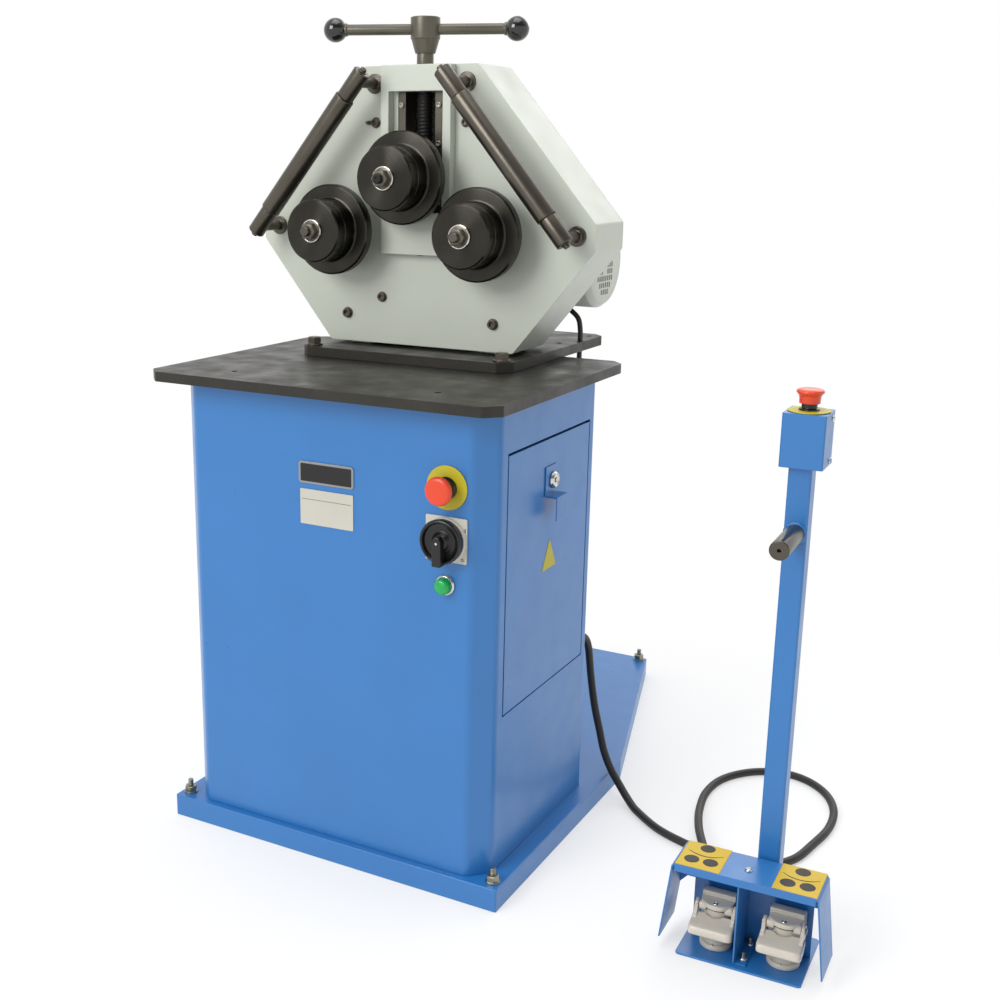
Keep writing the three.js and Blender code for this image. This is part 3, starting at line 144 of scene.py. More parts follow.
@dataclass
class Form:
    """Vertices in millimetres and the faces between them."""

    points: np.ndarray
    faces: list[Face]

    def moved(self, matrix: Matrix) -> Form:
        """Returns a copy carried by a 4 by 4 matrix."""
        m = np.array(matrix)
        return Form(self.points @ m[:3, :3].T + m[:3, 3], self.faces)

    def mirrored(self) -> Form:
        """Returns a copy mirrored in X."""
        return Form(self.points * np.array([-1.0, 1.0, 1.0]), self.faces)


def joined(forms: Iterable[Form]) -> Form:
    """Puts several forms into one, without cutting them.

    Args:
        forms: What is put together.

    Returns:
        One form that holds them all.
    """
    points: list[np.ndarray] = []
    faces: list[Face] = []
    count = 0
    for form in forms:
        points.append(form.points)
        faces.extend(tuple(i + count for i in face) for face in form.faces)
        count += len(form.points)
    return Form(np.vstack(points), faces)


# Profiles and outlines


def off(seat: float, way: float, *steps: Point2) -> list[Point2]:
    """Profile points given as distances off a seat, in one way (+1 or -1), and radii."""
    return [(seat + way * along, radius) for along, radius in steps]


def eased(points: Sequence[Point2], radius: float, steps: int = 3, closed: bool = False) -> list[Point2]:
    """Rounds the corners of a profile or an outline with short quadratic arcs.

    Args:
        points: The corners in order.
        radius: How far back from each corner the arc starts, kept under half of the leg.
        steps: Pieces in each arc.
        closed: Whether the last point joins the first.

    Returns:
        The rounded run of points.
    """
    most = 0.46
    corners = [np.array(point, float) for point in points]
    result: list[Point2] = []
    for i, corner in enumerate(corners):
        before = corners[i - 1] - corner
        after = corners[(i + 1) % len(corners)] - corner
        back = np.linalg.norm(before)
        ahead = np.linalg.norm(after)
        is_end = not closed and i in (0, len(corners) - 1)
        if is_end or min(back, ahead) < TINY:
            result.append(tuple(corner))
            continue
        start = corner + before / back * min(radius, most * back)
        end = corner + after / ahead * min(radius, most * ahead)
        for t in np.linspace(0.0, 1.0, steps + 1):
            result.append(tuple((1 - t) ** 2 * start + 2 * t * (1 - t) * corner + t * t * end))
    return result


def looped(points: Sequence[Point2], ease: float = 0.0) -> list[Point2]:
    """Runs a profile back to its first point, which stays sharp, and eases the others."""
    run = [*points, points[0]]
    return eased(run, ease) if ease else run


def octagon(u0: float, u1: float, v0: float, v1: float, cut: float) -> list[Point2]:
    """A rectangle with its corners cut at 45 degrees."""
    return [(u0 + cut, v0), (u1 - cut, v0), (u1, v0 + cut), (u1, v1 - cut),
            (u1 - cut, v1), (u0 + cut, v1), (u0, v1 - cut), (u0, v0 + cut)]


def rectangle(u0: float, u1: float, v0: float, v1: float, corner: float = 0.0) -> list[Point2]:
    """A rectangle, with round corners where a corner is given."""
    points = [(u0, v0), (u1, v0), (u1, v1), (u0, v1)]
    return eased(points, corner, 5, closed=True) if corner else points


def circle(u: float, v: float, radius: float, sides: int = 32, start: float = 0.0) -> list[Point2]:
    """Points evenly round a circle, from a starting angle in radians."""
    turns = [start + FULL_TURN * k / sides for k in range(sides)]
    return [(u + radius * math.cos(t), v + radius * math.sin(t)) for t in turns]


# Forms from profiles and outlines


def spread(u: np.ndarray, v: np.ndarray, along: np.ndarray, axis: str) -> np.ndarray:
    """Lays section coordinates and a distance along an axis out as x, y, z."""
    order = {"x": (along, u, v), "y": (u, along, v), "z": (u, v, along)}
    return np.column_stack(order[axis])


def strip(first: int, second: int, sides: int, first_pole: bool = False,
          second_pole: bool = False) -> list[Face]:
    """Faces between two neighbouring rings of points.

    Args:
        first: Index of the first ring's first point.
        second: Index of the second ring's first point.
        sides: Points in a ring.
        first_pole: Whether the first ring is one point on the axis.
        second_pole: The same for the second ring.

    Returns:
        Quads, or triangles at a pole, or nothing between two poles.
    """
    k = np.arange(sides)
    n = (k + 1) % sides
    if first_pole and second_pole:
        return []
    if first_pole:
        corners = (np.full(sides, first), second + n, second + k)
    elif second_pole:
        corners = (first + k, first + n, np.full(sides, second))
    else:
        corners = (first + k, first + n, second + n, second + k)
    return [tuple(face) for face in np.column_stack(corners).tolist()]


def lathe(profile: Sequence[Point2], axis: str, centre: Point3, sides: int = 64) -> Form:
    """Turns a profile about an axis: each point becomes radius times cosine and sine.

    Args:
        profile: Pairs of distance along the axis and radius; it may run back to its start.
        axis: The axis' letter.
        centre: A point on the axis.
        sides: Points in a ring.

    Returns:
        The turned form.
    """
    rows = [tuple(point) for point in profile]
    closed = rows[0] == rows[-1] and rows[0][1] > TINY
    if closed:
        rows.pop()
    angle = np.linspace(0.0, FULL_TURN, sides, endpoint=False)
    rings: list[np.ndarray] = []
    starts: list[tuple[int, bool]] = []
    count = 0
    for along, radius in rows:
        pole = radius < TINY
        turns = angle[:1] if pole else angle
        r = 0.0 if pole else radius
        rings.append(spread(r * np.cos(turns), r * np.sin(turns), np.full(len(turns), float(along)), axis))
        starts.append((count, pole))
        count += len(turns)
    faces: list[Face] = []
    for i in range(len(rows) if closed else len(rows) - 1):
        first, first_pole = starts[i]
        second, second_pole = starts[(i + 1) % len(rows)]
        faces += strip(first, second, sides, first_pole, second_pole)
    return Form(np.vstack(rings) + np.array(centre, float), faces)


def rod(axis: str, radius: float, start: float, end: float, centre: Point3, sides: int = 48) -> Form:
    """A plain cylinder with sharp rims."""
    return lathe([(start, 0.0), (start, radius), (end, radius), (end, 0.0)], axis, centre, sides)


def disc(axis: str, radius: float, start: float, end: float, centre: Point3, ease: float = 0.4,
         sides: int = 48, steps: int = 3) -> Form:
    """A cylinder with eased rims."""
    profile = [(start, 0.0), (start, radius), (end, radius), (end, 0.0)]
    return lathe(eased(profile, ease, steps), axis, centre, sides)


def threaded(radius: float, depth: float, pitch: float, start: float, end: float, axis: str,
             centre: Point3, sides: int = 24) -> Form:
    """A rod whose radius falls by a triangle wave of height over pitch less the turn, its ends closed.

    Args:
        radius: Over the crests.
        depth: Of the groove.
        pitch: Of the thread.
        start: Where the rod starts along the axis.
        end: Where it ends.
        axis: The axis' letter.
        centre: A point on the axis.
        sides: Points in a turn.

    Returns:
        The threaded rod.
    """
    rows = max(4, int(abs(end - start) / pitch * 6))
    height = np.linspace(start, end, rows + 1)
    angle = np.linspace(0.0, FULL_TURN, sides, endpoint=False)
    grid_z, grid_a = np.meshgrid(height, angle, indexing="ij")
    phase = (grid_z / pitch - grid_a / FULL_TURN) % 1.0
    r = radius - depth * (1.0 - np.abs(2.0 * phase - 1.0))
    wall = spread((r * np.cos(grid_a)).ravel(), (r * np.sin(grid_a)).ravel(), grid_z.ravel(), axis)
    poles = spread(np.zeros(2), np.zeros(2), np.array([start, end], float), axis)
    faces = strip(len(wall), 0, sides, first_pole=True)
    faces += strip(rows * sides, len(wall) + 1, sides, second_pole=True)
    for i in range(rows):
        faces += strip(i * sides, (i + 1) * sides, sides)
    return Form(np.vstack([wall, poles]) + np.array(centre, float), faces)


def prism(outline: Sequence[Point2], axis: str, start: float, end: float,
          holes: Sequence[Sequence[Point2]] = ()) -> Form:
    """Draws an outline out along an axis, with holes right through it.

    Args:
        outline: The corners in order.
        axis: The axis' letter.
        start: Where the prism starts along the axis.
        end: Where it ends.
        holes: More outlines, cut out of it.

    Returns:
        The prism.
    """
    loops = [list(outline), *[list(hole) for hole in holes]]
    flat = np.array([point for loop in loops for point in loop], float)
    count = len(flat)
    low = spread(flat[:, 0], flat[:, 1], np.full(count, float(start)), axis)
    high = spread(flat[:, 0], flat[:, 1], np.full(count, float(end)), axis)
    faces: list[Face] = []
    if len(loops) == 1:
        faces.append(tuple(range(count)))
        faces.append(tuple(range(2 * count - 1, count - 1, -1)))
    else:
        for a, b, c in tessellate_polygon([[Vector((u, v, 0.0)) for u, v in loop] for loop in loops]):
            faces.append((a, b, c))
            faces.append((a + count, c + count, b + count))
    first = 0
    for loop in loops:
        faces += strip(first, first + count, len(loop))
        first += len(loop)
    return Form(np.vstack([low, high]), faces)


def box(x0: float, x1: float, y0: float, y1: float, z0: float, z1: float) -> Form:
    """A rectangular block; its piece gets a bevel."""
    return prism(rectangle(x0, x1, y0, y1), "z", z0, z1)


def lofted(rows: Sequence[np.ndarray]) -> Form:
    """Skins closed loops of equally many points, and closes both ends.

    Args:
        rows: The loops in order, each as rows of x, y, z.

    Returns:
        The skinned form.
    """
    size = len(rows[0])
    last = (len(rows) - 1) * size
    faces: list[Face] = [tuple(range(size)), tuple(range(last + size - 1, last - 1, -1))]
    for start in range(0, last, size):
        faces += strip(start, start + size, size)
    return Form(np.vstack(rows), faces)


def hexagon(axis: str, flats: float, start: float, end: float, centre: Point3) -> Form:
    """A hexagonal nut or head with its outer corners turned off.

    Args:
        axis: The axis' letter.
        flats: The width over flats, which is the corner's radius times the root of three.
        start: The seated side along the axis.
        end: The outer side.
        centre: A point on the axis.

    Returns:
        The hexagonal form.
    """
    corner = flats / math.sqrt(3)
    slope = 0.056 * flats * (1 if end > start else -1)
    profile = [(start, 0.0), (start, corner), (end - slope, corner), (end, corner * 0.87), (end, 0.0)]
    return lathe(profile, axis, centre, 6)


def spun(form: Form, centre: Point3, count: int) -> list[Form]:
    """Copies of a form, evenly turned about a line along X.

    Args:
        form: What is copied.
        centre: A point on the line.
        count: How many copies stand round it.

    Returns:
        The copies.
    """
    there = Matrix.Translation(centre)
    back = Matrix.Translation([-value for value in centre])
    return [form.moved(there @ Matrix.Rotation(FULL_TURN * i / count, 4, "X") @ back) for i in range(count)]


def through(points: Sequence[Point3], per_span: int = 24) -> np.ndarray:
    """A centripetal Catmull-Rom curve: Hermite spans whose tangents use the roots of the legs.

    Args:
        points: The points that the curve passes.
        per_span: Steps between two points.

    Returns:
        Rows of x, y, z along the curve.
    """
    p = np.array(points, float)
    p = np.vstack([2 * p[0] - p[1], p, 2 * p[-1] - p[-2]])
    t = np.linspace(0.0, 1.0, per_span, endpoint=False)[:, None]
    cube = 2 * t ** 3 - 3 * t ** 2
    result: list[np.ndarray] = []
    for a, b, c, d in zip(p, p[1:], p[2:], p[3:]):
        t0, t1, t2 = (math.sqrt(np.linalg.norm(leg)) for leg in (b - a, c - b, d - c))
        start = ((b - a) / t0 - (c - a) / (t0 + t1) + (c - b) / t1) * t1
        end = ((c - b) / t1 - (d - b) / (t1 + t2) + (d - c) / t2) * t1
        result.append((cube + 1) * b + (t ** 3 - 2 * t ** 2 + t) * start - cube * c + (t ** 3 - t ** 2) * end)
    return np.vstack([*result, p[-2]])


def even_steps(path: np.ndarray, step: float) -> tuple[np.ndarray, np.ndarray]:
    """Points at even distances along a path.

    Args:
        path: Rows of x, y, z.
        step: About how far apart they stand.

    Returns:
        The points and their distances from the start.
    """
    legs = np.linalg.norm(np.diff(path, axis=0), axis=1)
    run = np.concatenate([[0.0], np.cumsum(legs)])
    stations = np.linspace(0.0, run[-1], max(2, int(round(run[-1] / step)) + 1))
    return np.column_stack([np.interp(stations, run, path[:, k]) for k in range(3)]), stations


def tube(path: np.ndarray, radii: np.ndarray | float, sides: int = 16) -> Form:
    """A round tube: circles square to the path, whose side vector is carried along without twist.

    Args:
        path: Rows of x, y, z.
        radii: One radius, or one for each row.
        sides: Points in a circle.

    Returns:
        The tube with closed ends.
    """
    radii = np.broadcast_to(radii, len(path))
    tangents = np.gradient(path, axis=0)
    tangents /= np.linalg.norm(tangents, axis=1)[:, None]
    side = np.cross(tangents[0], [0.0, 0.0, 1.0])
    if np.linalg.norm(side) < 1e-3:
        side = np.cross(tangents[0], [1.0, 0.0, 0.0])
    side /= np.linalg.norm(side)
    angle = np.linspace(0.0, FULL_TURN, sides, endpoint=False)
    rings: list[np.ndarray] = []
    for point, tangent, radius in zip(path, tangents, radii):
        side = side - tangent * np.dot(side, tangent)
        side /= np.linalg.norm(side)
        ring = np.outer(np.cos(angle), side) + np.outer(np.sin(angle), np.cross(tangent, side))
        rings.append(point + radius * ring)
    return lofted(rings)


# Cutting


def face_outward(mesh: bpy.types.Mesh) -> None:
    """Turns every face of a mesh outward.

    Args:
        mesh: The mesh, which is changed in place.
    """
    shape = bmesh.new()
    shape.from_mesh(mesh)
    bmesh.ops.recalc_face_normals(shape, faces=shape.faces)
    shape.to_mesh(mesh)
    shape.free()


def scratch_object(form: Form) -> bpy.types.Object:
    """A loose object in millimetres, for cutting only.

    Args:
        form: What it is made from.

    Returns:
        The object, linked to the scene.
    """
    mesh = bpy.data.meshes.new("cutting")
    mesh.from_pydata(form.points.tolist(), [], form.faces)
    face_outward(mesh)
    obj = bpy.data.objects.new("cutting", mesh)
    bpy.context.scene.collection.objects.link(obj)
    return obj


def carved(solid: Form, *cutters: Form) -> Form:
    """Cuts closed forms out of a closed form.

    Args:
        solid: What is cut.
        cutters: What is taken away, one after the other.

    Returns:
        What is left.
    """
    body = scratch_object(solid)
    for cutter in cutters:
        tool = scratch_object(cutter)
        modifier = body.modifiers.new("cut", "BOOLEAN")
        modifier.operation = "DIFFERENCE"
        modifier.solver = "EXACT"
        modifier.object = tool
        depsgraph = bpy.context.evaluated_depsgraph_get()
        result = bpy.data.meshes.new_from_object(body.evaluated_get(depsgraph))
        body.modifiers.clear()
        body.data = result
        bpy.data.objects.remove(tool)
    points = np.array([v.co for v in body.data.vertices], float)
    faces = [tuple(polygon.vertices) for polygon in body.data.polygons]
    bpy.data.objects.remove(body)
    return Form(points, faces)


# Finishes


@dataclass(frozen=True)
class Finish:
    """How one surface looks: its colour, gloss, small relief in millimetres, and wear."""

    slot: str
    colour: Point3
    rough: float
    metal: float = 0.0
    coat: float = 0.0
    tint: float = 0.08
    tint_scale: float = 7.0
    rough_spread: float = 0.06
    grain: float = 0.02
    grain_scale: float = 700.0
    wear: float = 0.0
    worn: Point3 = (200.0, 200.0, 195.0)
    specular: float = 0.5
    speckle: float = 0.0


class Look(Enum):
    """Every finish of the part."""

    BLUE = Finish("blue_paint", (36, 111, 178), 0.33, coat=0.06, grain=0.006, grain_scale=520, wear=0.15,
                  worn=(96, 146, 200), tint=0.04, specular=0.7)
    GREY = Finish("grey_paint", (187, 192, 180), 0.4, coat=0.1, grain=0.02, grain_scale=380, wear=0.15,
                  worn=(208, 208, 200), tint=0.04, specular=0.65)
    PLATE = Finish("black_plate", (40, 38, 33), 0.4, grain=0.03, grain_scale=260, wear=0.4, specular=0.35,
                   worn=(120, 114, 100), tint=0.25, tint_scale=12, rough_spread=0.14, speckle=0.12)
    OILED = Finish("oiled_black", (90, 85, 77), 0.31, metal=0.9, grain=0.003, grain_scale=900, wear=0.12,
                   worn=(150, 144, 130), tint=0.1, tint_scale=24, rough_spread=0.04)
    # Its strong wear lightens the rolls' edges: partly bare steel rubbed on the rims, partly painted
    # highlight along the chamfers
    ROLL = Finish("oiled_black", (56, 54, 49), 0.24, metal=0.95, grain=0.004, grain_scale=900, wear=0.7,
                  worn=(150, 146, 134), tint=0.15, tint_scale=24, rough_spread=0.05)
    HANDLE = Finish("oiled_black", (94, 90, 79), 0.34, metal=0.5, grain=0.004, grain_scale=900, wear=0.2,
                    worn=(160, 154, 140), tint=0.12, tint_scale=24, rough_spread=0.06)
    # Near black: the stud ends' own dark oxide, and painted shade on the lift screw inside the casing's
    # window and on the half disc for the hole under the slide frame
    DARK_OXIDE_AND_SHADE = Finish("oiled_black", (20, 18, 17), 0.45, grain=0.008, grain_scale=900, specular=0.3, tint=0.2)
    BALL = Finish("oiled_black", (16, 15, 14), 0.1, coat=0.6, grain=0.0, tint=0.1)
    STEEL = Finish("bright_steel", (150, 145, 132), 0.3, metal=0.95, grain=0.008, grain_scale=1400, wear=0.2,
                   tint=0.12, rough_spread=0.1)
    CHROME = Finish("bright_steel", (212, 210, 204), 0.1, metal=1.0, grain=0.0, tint=0.04, rough_spread=0.04)
    YELLOW = Finish("yellow_plastic", (184, 172, 26), 0.5, grain=0.01, grain_scale=800, tint=0.05)
    LABEL_YELLOW = Finish("yellow_plastic", (206, 172, 10), 0.45, grain=0.004, grain_scale=900, tint=0.04)
    RED = Finish("red_plastic", (214, 62, 26), 0.34, coat=0.2, grain=0.006, grain_scale=600, tint=0.05)
    GREEN = Finish("green_lens", (0, 158, 74), 0.12, coat=0.25, grain=0.0, tint=0.12, tint_scale=160)
    LABEL = Finish("plate_label", (192, 190, 178), 0.38, metal=0.1, grain=0.006, grain_scale=1500, tint=0.05)
    BADGE = Finish("plate_label", (150, 153, 154), 0.3, metal=0.7, grain=0.006, grain_scale=1600, tint=0.07)
    RUBBER = Finish("black_rubber", (34, 29, 25), 0.42, grain=0.015, grain_scale=600, tint=0.15,
                    tint_scale=30)
    SWITCH = Finish("switch_grey", (196, 194, 183), 0.42, grain=0.008, grain_scale=900, tint=0.04)
    BLACK = Finish("black_plastic", (17, 17, 17), 0.28, grain=0.01, grain_scale=900, tint=0.1,
                   rough_spread=0.08)
    CAST = Finish("cast_treadle", (196, 189, 176), 0.32, coat=0.4, grain=0.03, grain_scale=240, wear=0.2,
                  worn=(214, 208, 198), tint=0.05, tint_scale=30)
    ZINC = Finish("zinc_panel", (184, 184, 178), 0.36, metal=0.85, grain=0.01, tint=0.15, tint_scale=40)
    MARK = Finish("black_plastic", (48, 45, 40), 0.55, grain=0.005, tint=0.06)


def shade(colour: Point3, factor: float = 1.0) -> Colour:
    """Scene-linear colour by the display curve: a line near black and a power of 2.4 above it.

    Args:
        colour: A display colour of 0 to 255.
        factor: Makes it lighter or darker.

    Returns:
        Red, green, blue and full alpha.
    """
    value = np.array(colour, float) / 255.0
    flat = np.where(value <= 0.04045, value / 12.92, ((value + 0.055) / 1.055) ** 2.4)
    return (*np.minimum(1.0, flat * factor).tolist(), 1.0)


class Graph:
    """Builds the node tree of one material or world."""

    def __init__(self, owner: bpy.types.Material | bpy.types.World) -> None:
        """Clears the owner's nodes.

        Args:
            owner: The material or world that holds them.
        """
        owner.use_nodes = True
        self.owner = owner
        self.tree = owner.node_tree
        self.tree.nodes.clear()

    def node(self, kind: str, inputs: dict | None = None, **settings: str | int) -> bpy.types.Node:
        """Adds a node.

        Args:
            kind: The node's type name.
            inputs: Sockets to link or plain values, by input name or number.
            settings: The node's own properties.

        Returns:
            The node.
        """
        made = self.tree.nodes.new(kind)
        for name, value in settings.items():
            setattr(made, name, value)
        for key, value in (inputs or {}).items():
            if isinstance(value, Socket):
                self.tree.links.new(value, made.inputs[key])
            else:
                made.inputs[key].default_value = value
        return made

    def coordinates(self) -> Socket:
        """Object coordinates, which are packed-frame metres."""
        return self.node("ShaderNodeTexCoord").outputs["Object"]

    def noise(self, vector: Socket, scale: float, detail: float = 2.0) -> Socket:
        """A noise value about 0.5."""
        inputs = {"Vector": vector, "Scale": scale, "Detail": detail}
        return self.node("ShaderNodeTexNoise", inputs).outputs[0]

    def span(self, value: Socket, low: float, high: float, to_low: float, to_high: float) -> Socket:
        """Maps a value from one range to another, clamped."""
        return self.node("ShaderNodeMapRange", {"Value": value, "From Min": low, "From Max": high,
                                                "To Min": to_low, "To Max": to_high}).outputs[0]

    def math(self, operation: str, a: Socket, b: Socket | float = 0.0) -> Socket:
        """One arithmetic step."""
        return self.node("ShaderNodeMath", {0: a, 1: b}, operation=operation).outputs[0]

    def vector(self, operation: str, a: Socket | Point3,
               b: Socket | Point3 = (0.0, 0.0, 0.0)) -> bpy.types.Node:
        """One vector step."""
        return self.node("ShaderNodeVectorMath", {0: a, 1: b}, operation=operation)

    def mix(self, factor: Socket, a: Socket | Colour, b: Socket | Colour) -> Socket:
        """Mixes two colours."""
        return self.node("ShaderNodeMix", {0: factor, 6: a, 7: b}, data_type="RGBA").outputs[2]


class Finisher:
    """Makes each material once and hands it out."""

    # Noise scales per metre
    speckle_scale = 420.0
    patch_scale = 90.0
    gloss_scale = 26.0
    ring_scale = 2200.0

    # The look's rounding of edges in millimetres, and the least relief and roughness
    rounding = 0.8
    least_grain = 0.002
    least_rough = 0.04

    def __init__(self) -> None:
        """Starts with no material made."""
        self.made: dict[tuple[Look, Turned | None], bpy.types.Material] = {}

    def get(self, look: Look, turned: Turned | None = None) -> bpy.types.Material:
        """Gives the material of a look.

        Args:
            look: The finish.
            turned: For lathe-turned steel, a point on its axis in millimetres and the axis.

        Returns:
            The material, made on first use.
        """
        key = (look, turned)
        if key not in self.made:
            name = look.name.lower() + ("" if turned is None else f"_turned_{len(self.made)}")
            self.made[key] = self._build(name, look.value, turned)
        return self.made[key]

    def _build(self, name: str, finish: Finish, turned: Turned | None) -> bpy.types.Material:
        """Builds a material with clouded colour, worn edges, uneven gloss and small relief.

        Args:
            name: The material's name.
            finish: Its look.
            turned: As in get.

        Returns:
            The material.
        """
        graph = Graph(bpy.data.materials.new(name))
        where = graph.coordinates()
        broad = graph.span(graph.noise(where, finish.tint_scale, 3.0), 0.3, 0.7, 0.0, 1.0)
        darker = shade(finish.colour, 1.0 - finish.tint)
        lighter = shade(finish.colour, 1.0 + finish.tint)
        colour = graph.mix(broad, darker, lighter)
        if finish.speckle:
            spots = graph.span(graph.noise(where, self.speckle_scale, 4.0), 0.56, 0.74, 0.0, finish.speckle)
            colour = graph.mix(spots, colour, shade(finish.worn, 0.8))
        normal = graph.node("ShaderNodeBevel", {"Radius": self.rounding * MM}, samples=4).outputs[0]
        if finish.wear:
            colour = self._worn(graph, where, normal, colour, finish)
        gloss = graph.noise(where, self.gloss_scale, 4.0)
        low = max(self.least_rough, finish.rough - finish.rough_spread)
        shader = graph.node("ShaderNodeBsdfPrincipled", {
            "Base Color": colour, "Metallic": finish.metal, "Specular IOR Level": finish.specular,
            "Roughness": graph.span(gloss, 0.25, 0.75, low, finish.rough + finish.rough_spread),
            "Coat Weight": finish.coat, "Coat Roughness": 0.12,
        })
        relief = max(finish.grain, self.least_grain) * MM
        if turned is None:
            height = graph.noise(where, finish.grain_scale)
        else:
            relief /= 2
            height, around = self._rings(graph, where, turned)
            shader.inputs["Anisotropic"].default_value = 0.85
            shader.inputs["Anisotropic Rotation"].default_value = 0.25
            graph.tree.links.new(around, shader.inputs["Tangent"])
        bump = graph.node("ShaderNodeBump", {"Height": height, "Distance": relief, "Strength": 1.0,
                                             "Normal": normal})
        graph.tree.links.new(bump.outputs[0], shader.inputs["Normal"])
        graph.node("ShaderNodeOutputMaterial", {"Surface": shader.outputs[0]})
        graph.owner.diffuse_color = shade(finish.colour)
        return graph.owner

    def _worn(self, graph: Graph, where: Socket, normal: Socket, colour: Socket, finish: Finish) -> Socket:
        """Rubs the colour where the rounded normal leaves the flat one, in patches.

        Args:
            graph: The material's nodes.
            where: Object coordinates.
            normal: The rounded normal.
            colour: The colour so far.
            finish: The look.

        Returns:
            The rubbed colour.
        """
        flat = graph.node("ShaderNodeNewGeometry").outputs["Normal"]
        along = graph.vector("DOT_PRODUCT", normal, flat).outputs["Value"]
        edges = graph.span(along, 0.96, 0.75, 0.0, 1.0)
        patches = graph.span(graph.noise(where, self.patch_scale, 5.0), 0.42, 0.62, 0.0, finish.wear)
        return graph.mix(graph.math("MULTIPLY", edges, patches), colour, shade(finish.worn))

    def _rings(self, graph: Graph, where: Socket, turned: Turned) -> tuple[Socket, Socket]:
        """Fine rings about an axis, as a turning tool leaves them.

        Args:
            graph: The material's nodes.
            where: Object coordinates.
            turned: A point on the axis and the axis.

        Returns:
            A noise of radius and place along the axis, and the way that the rings run.
        """
        point, axis = turned
        centre = MACHINE.metres(np.array([point], float))[0]
        away = graph.vector("SUBTRACT", where, tuple(centre)).outputs[0]
        parts = list(graph.node("ShaderNodeSeparateXYZ", {0: away}).outputs)
        along = parts.pop("xyz".index(axis))
        squares = [graph.math("MULTIPLY", part, part) for part in parts]
        radius = graph.math("SQRT", graph.math("ADD", *squares))
        flat = graph.node("ShaderNodeCombineXYZ", {0: radius, 1: along, 2: 0.0}).outputs[0]
        direction = tuple(float(letter == axis) for letter in "xyz")
        run = graph.vector("CROSS_PRODUCT", direction, away).outputs[0]
        around = graph.node("ShaderNodeVectorTransform", {0: run}, vector_type="VECTOR",
                            convert_from="OBJECT", convert_to="WORLD")
        return graph.noise(flat, self.ring_scale, 3.0), around.outputs[0]


FINISHES = Finisher()


# Pieces


@dataclass(frozen=True)
class Edge:
    """A real bevel along the sharp edges of a piece, in millimetres and degrees."""

    width: float = 0.8
    segments: int = 2
    angle: float = 40.0


def finished(name: str, mesh: bpy.types.Mesh, look: Look, body: str, replaces: Sequence[str] = (),
             edge: Edge | None = None, turned: Turned | None = None,
             smooth: float = 40.0) -> bpy.types.Object:
    """Gives a mesh in packed-frame metres its object, shading, finish and body.

    Args:
        name: The piece's name.
        mesh: Its mesh.
        look: Its finish.
        body: The body that carries it.
        replaces: The CAD nodes that it stands for.
        edge: Its bevel.
        turned: For lathe-turned steel, a point on the axis and the axis.
        smooth: Edges sharper than this angle in degrees are shaded sharp.

    Returns:
        The piece's object.
    """
    face_outward(mesh)
    mesh.polygons.foreach_set("use_smooth", np.ones(len(mesh.polygons), bool))
    mesh.set_sharp_from_angle(angle=math.radians(smooth))
    mesh.update()
    obj = bpy.data.objects.new(name, mesh)
    bpy.context.scene.collection.objects.link(obj)
    mesh.materials.clear()
    mesh.materials.append(FINISHES.get(look, turned))
    if edge is not None:
        bevel = obj.modifiers.new("edges", "BEVEL")
        bevel.width = edge.width * MM
        bevel.segments = edge.segments
        bevel.limit_method = "ANGLE"
        bevel.angle_limit = math.radians(edge.angle)
        bevel.harden_normals = True
        bevel.miter_outer = "MITER_ARC"
        level = obj.modifiers.new("flat_faces", "WEIGHTED_NORMAL")
        level.weight = 100
        level.keep_sharp = True
    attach(obj, body)
    if replaces:
        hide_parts(*replaces)
    LOG.info("%s on %s, %d faces", name, body, len(mesh.polygons))
    return obj


def piece(name: str, form: Form, look: Look, place: Place = MACHINE, body: str = BODY,
          replaces: Sequence[str] = (), edge: Edge | None = None, turned: Turned | None = None,
          smooth: float = 40.0) -> bpy.types.Object:
    """Makes a piece from a form.

    Args:
        name: The piece's name.
        form: Its shape in the millimetres of its place.
        look: Its finish.
        place: The sub-frame.
        body: The body that carries it.
        replaces: The CAD nodes that it stands for.
        edge: Its bevel.
        turned: As in finished.
        smooth: As in finished.

    Returns:
        The piece's object.
    """
    mesh = bpy.data.meshes.new(name)
    mesh.from_pydata(place.metres(form.points).tolist(), [], form.faces)
    return finished(name, mesh, look, body, replaces, edge, turned, smooth)


def dressed(frame: dict, node: str, look: Look, body: str = BODY, edge: Edge | None = Edge()) -> None:
    """Makes a merged copy of a CAD node with real edges, in the node's place.

    Args:
        frame: The loaded frame.
        node: The CAD node's name.
        look: The finish.
        body: The body that carries it.
        edge: Its bevel.
    """
    mesh = frame["nodes"][node].data.copy()
    shape = bmesh.new()
    shape.from_mesh(mesh)
    bmesh.ops.remove_doubles(shape, verts=shape.verts, dist=1e-5)
    bmesh.ops.dissolve_limit(shape, angle_limit=math.radians(1.0), verts=shape.verts, edges=shape.edges)
    shape.to_mesh(mesh)
    shape.free()
    finished(f"{node}_skin", mesh, look, body, [node], edge)


# Fasteners, each standing off a seat along an axis; out is +1 or -1


def hex_bolt(axis: str, centre: Point3, seat: float, out: float, flats: float, washer: float) -> Form:
    """A washer and a chamfered hexagonal head.

    Args:
        axis: The axis' letter.
        centre: A point on the axis.
        seat: Where the washer lies along the axis.
        out: The way that the head points.
        flats: Its width over flats.
        washer: The washer's radius.

    Returns:
        The bolt's head with the washer.
    """
    rise = flats * 0.5
    return joined([
        disc(axis, washer, seat - out * 0.4, seat + out * 2.6, centre, 0.5),
        hexagon(axis, flats, seat + out * 2.4, seat + out * (2.6 + rise), centre),
        disc(axis, flats * 0.44, seat + out * (2.0 + rise), seat + out * (2.9 + rise), centre, 0.5, 24),
    ])


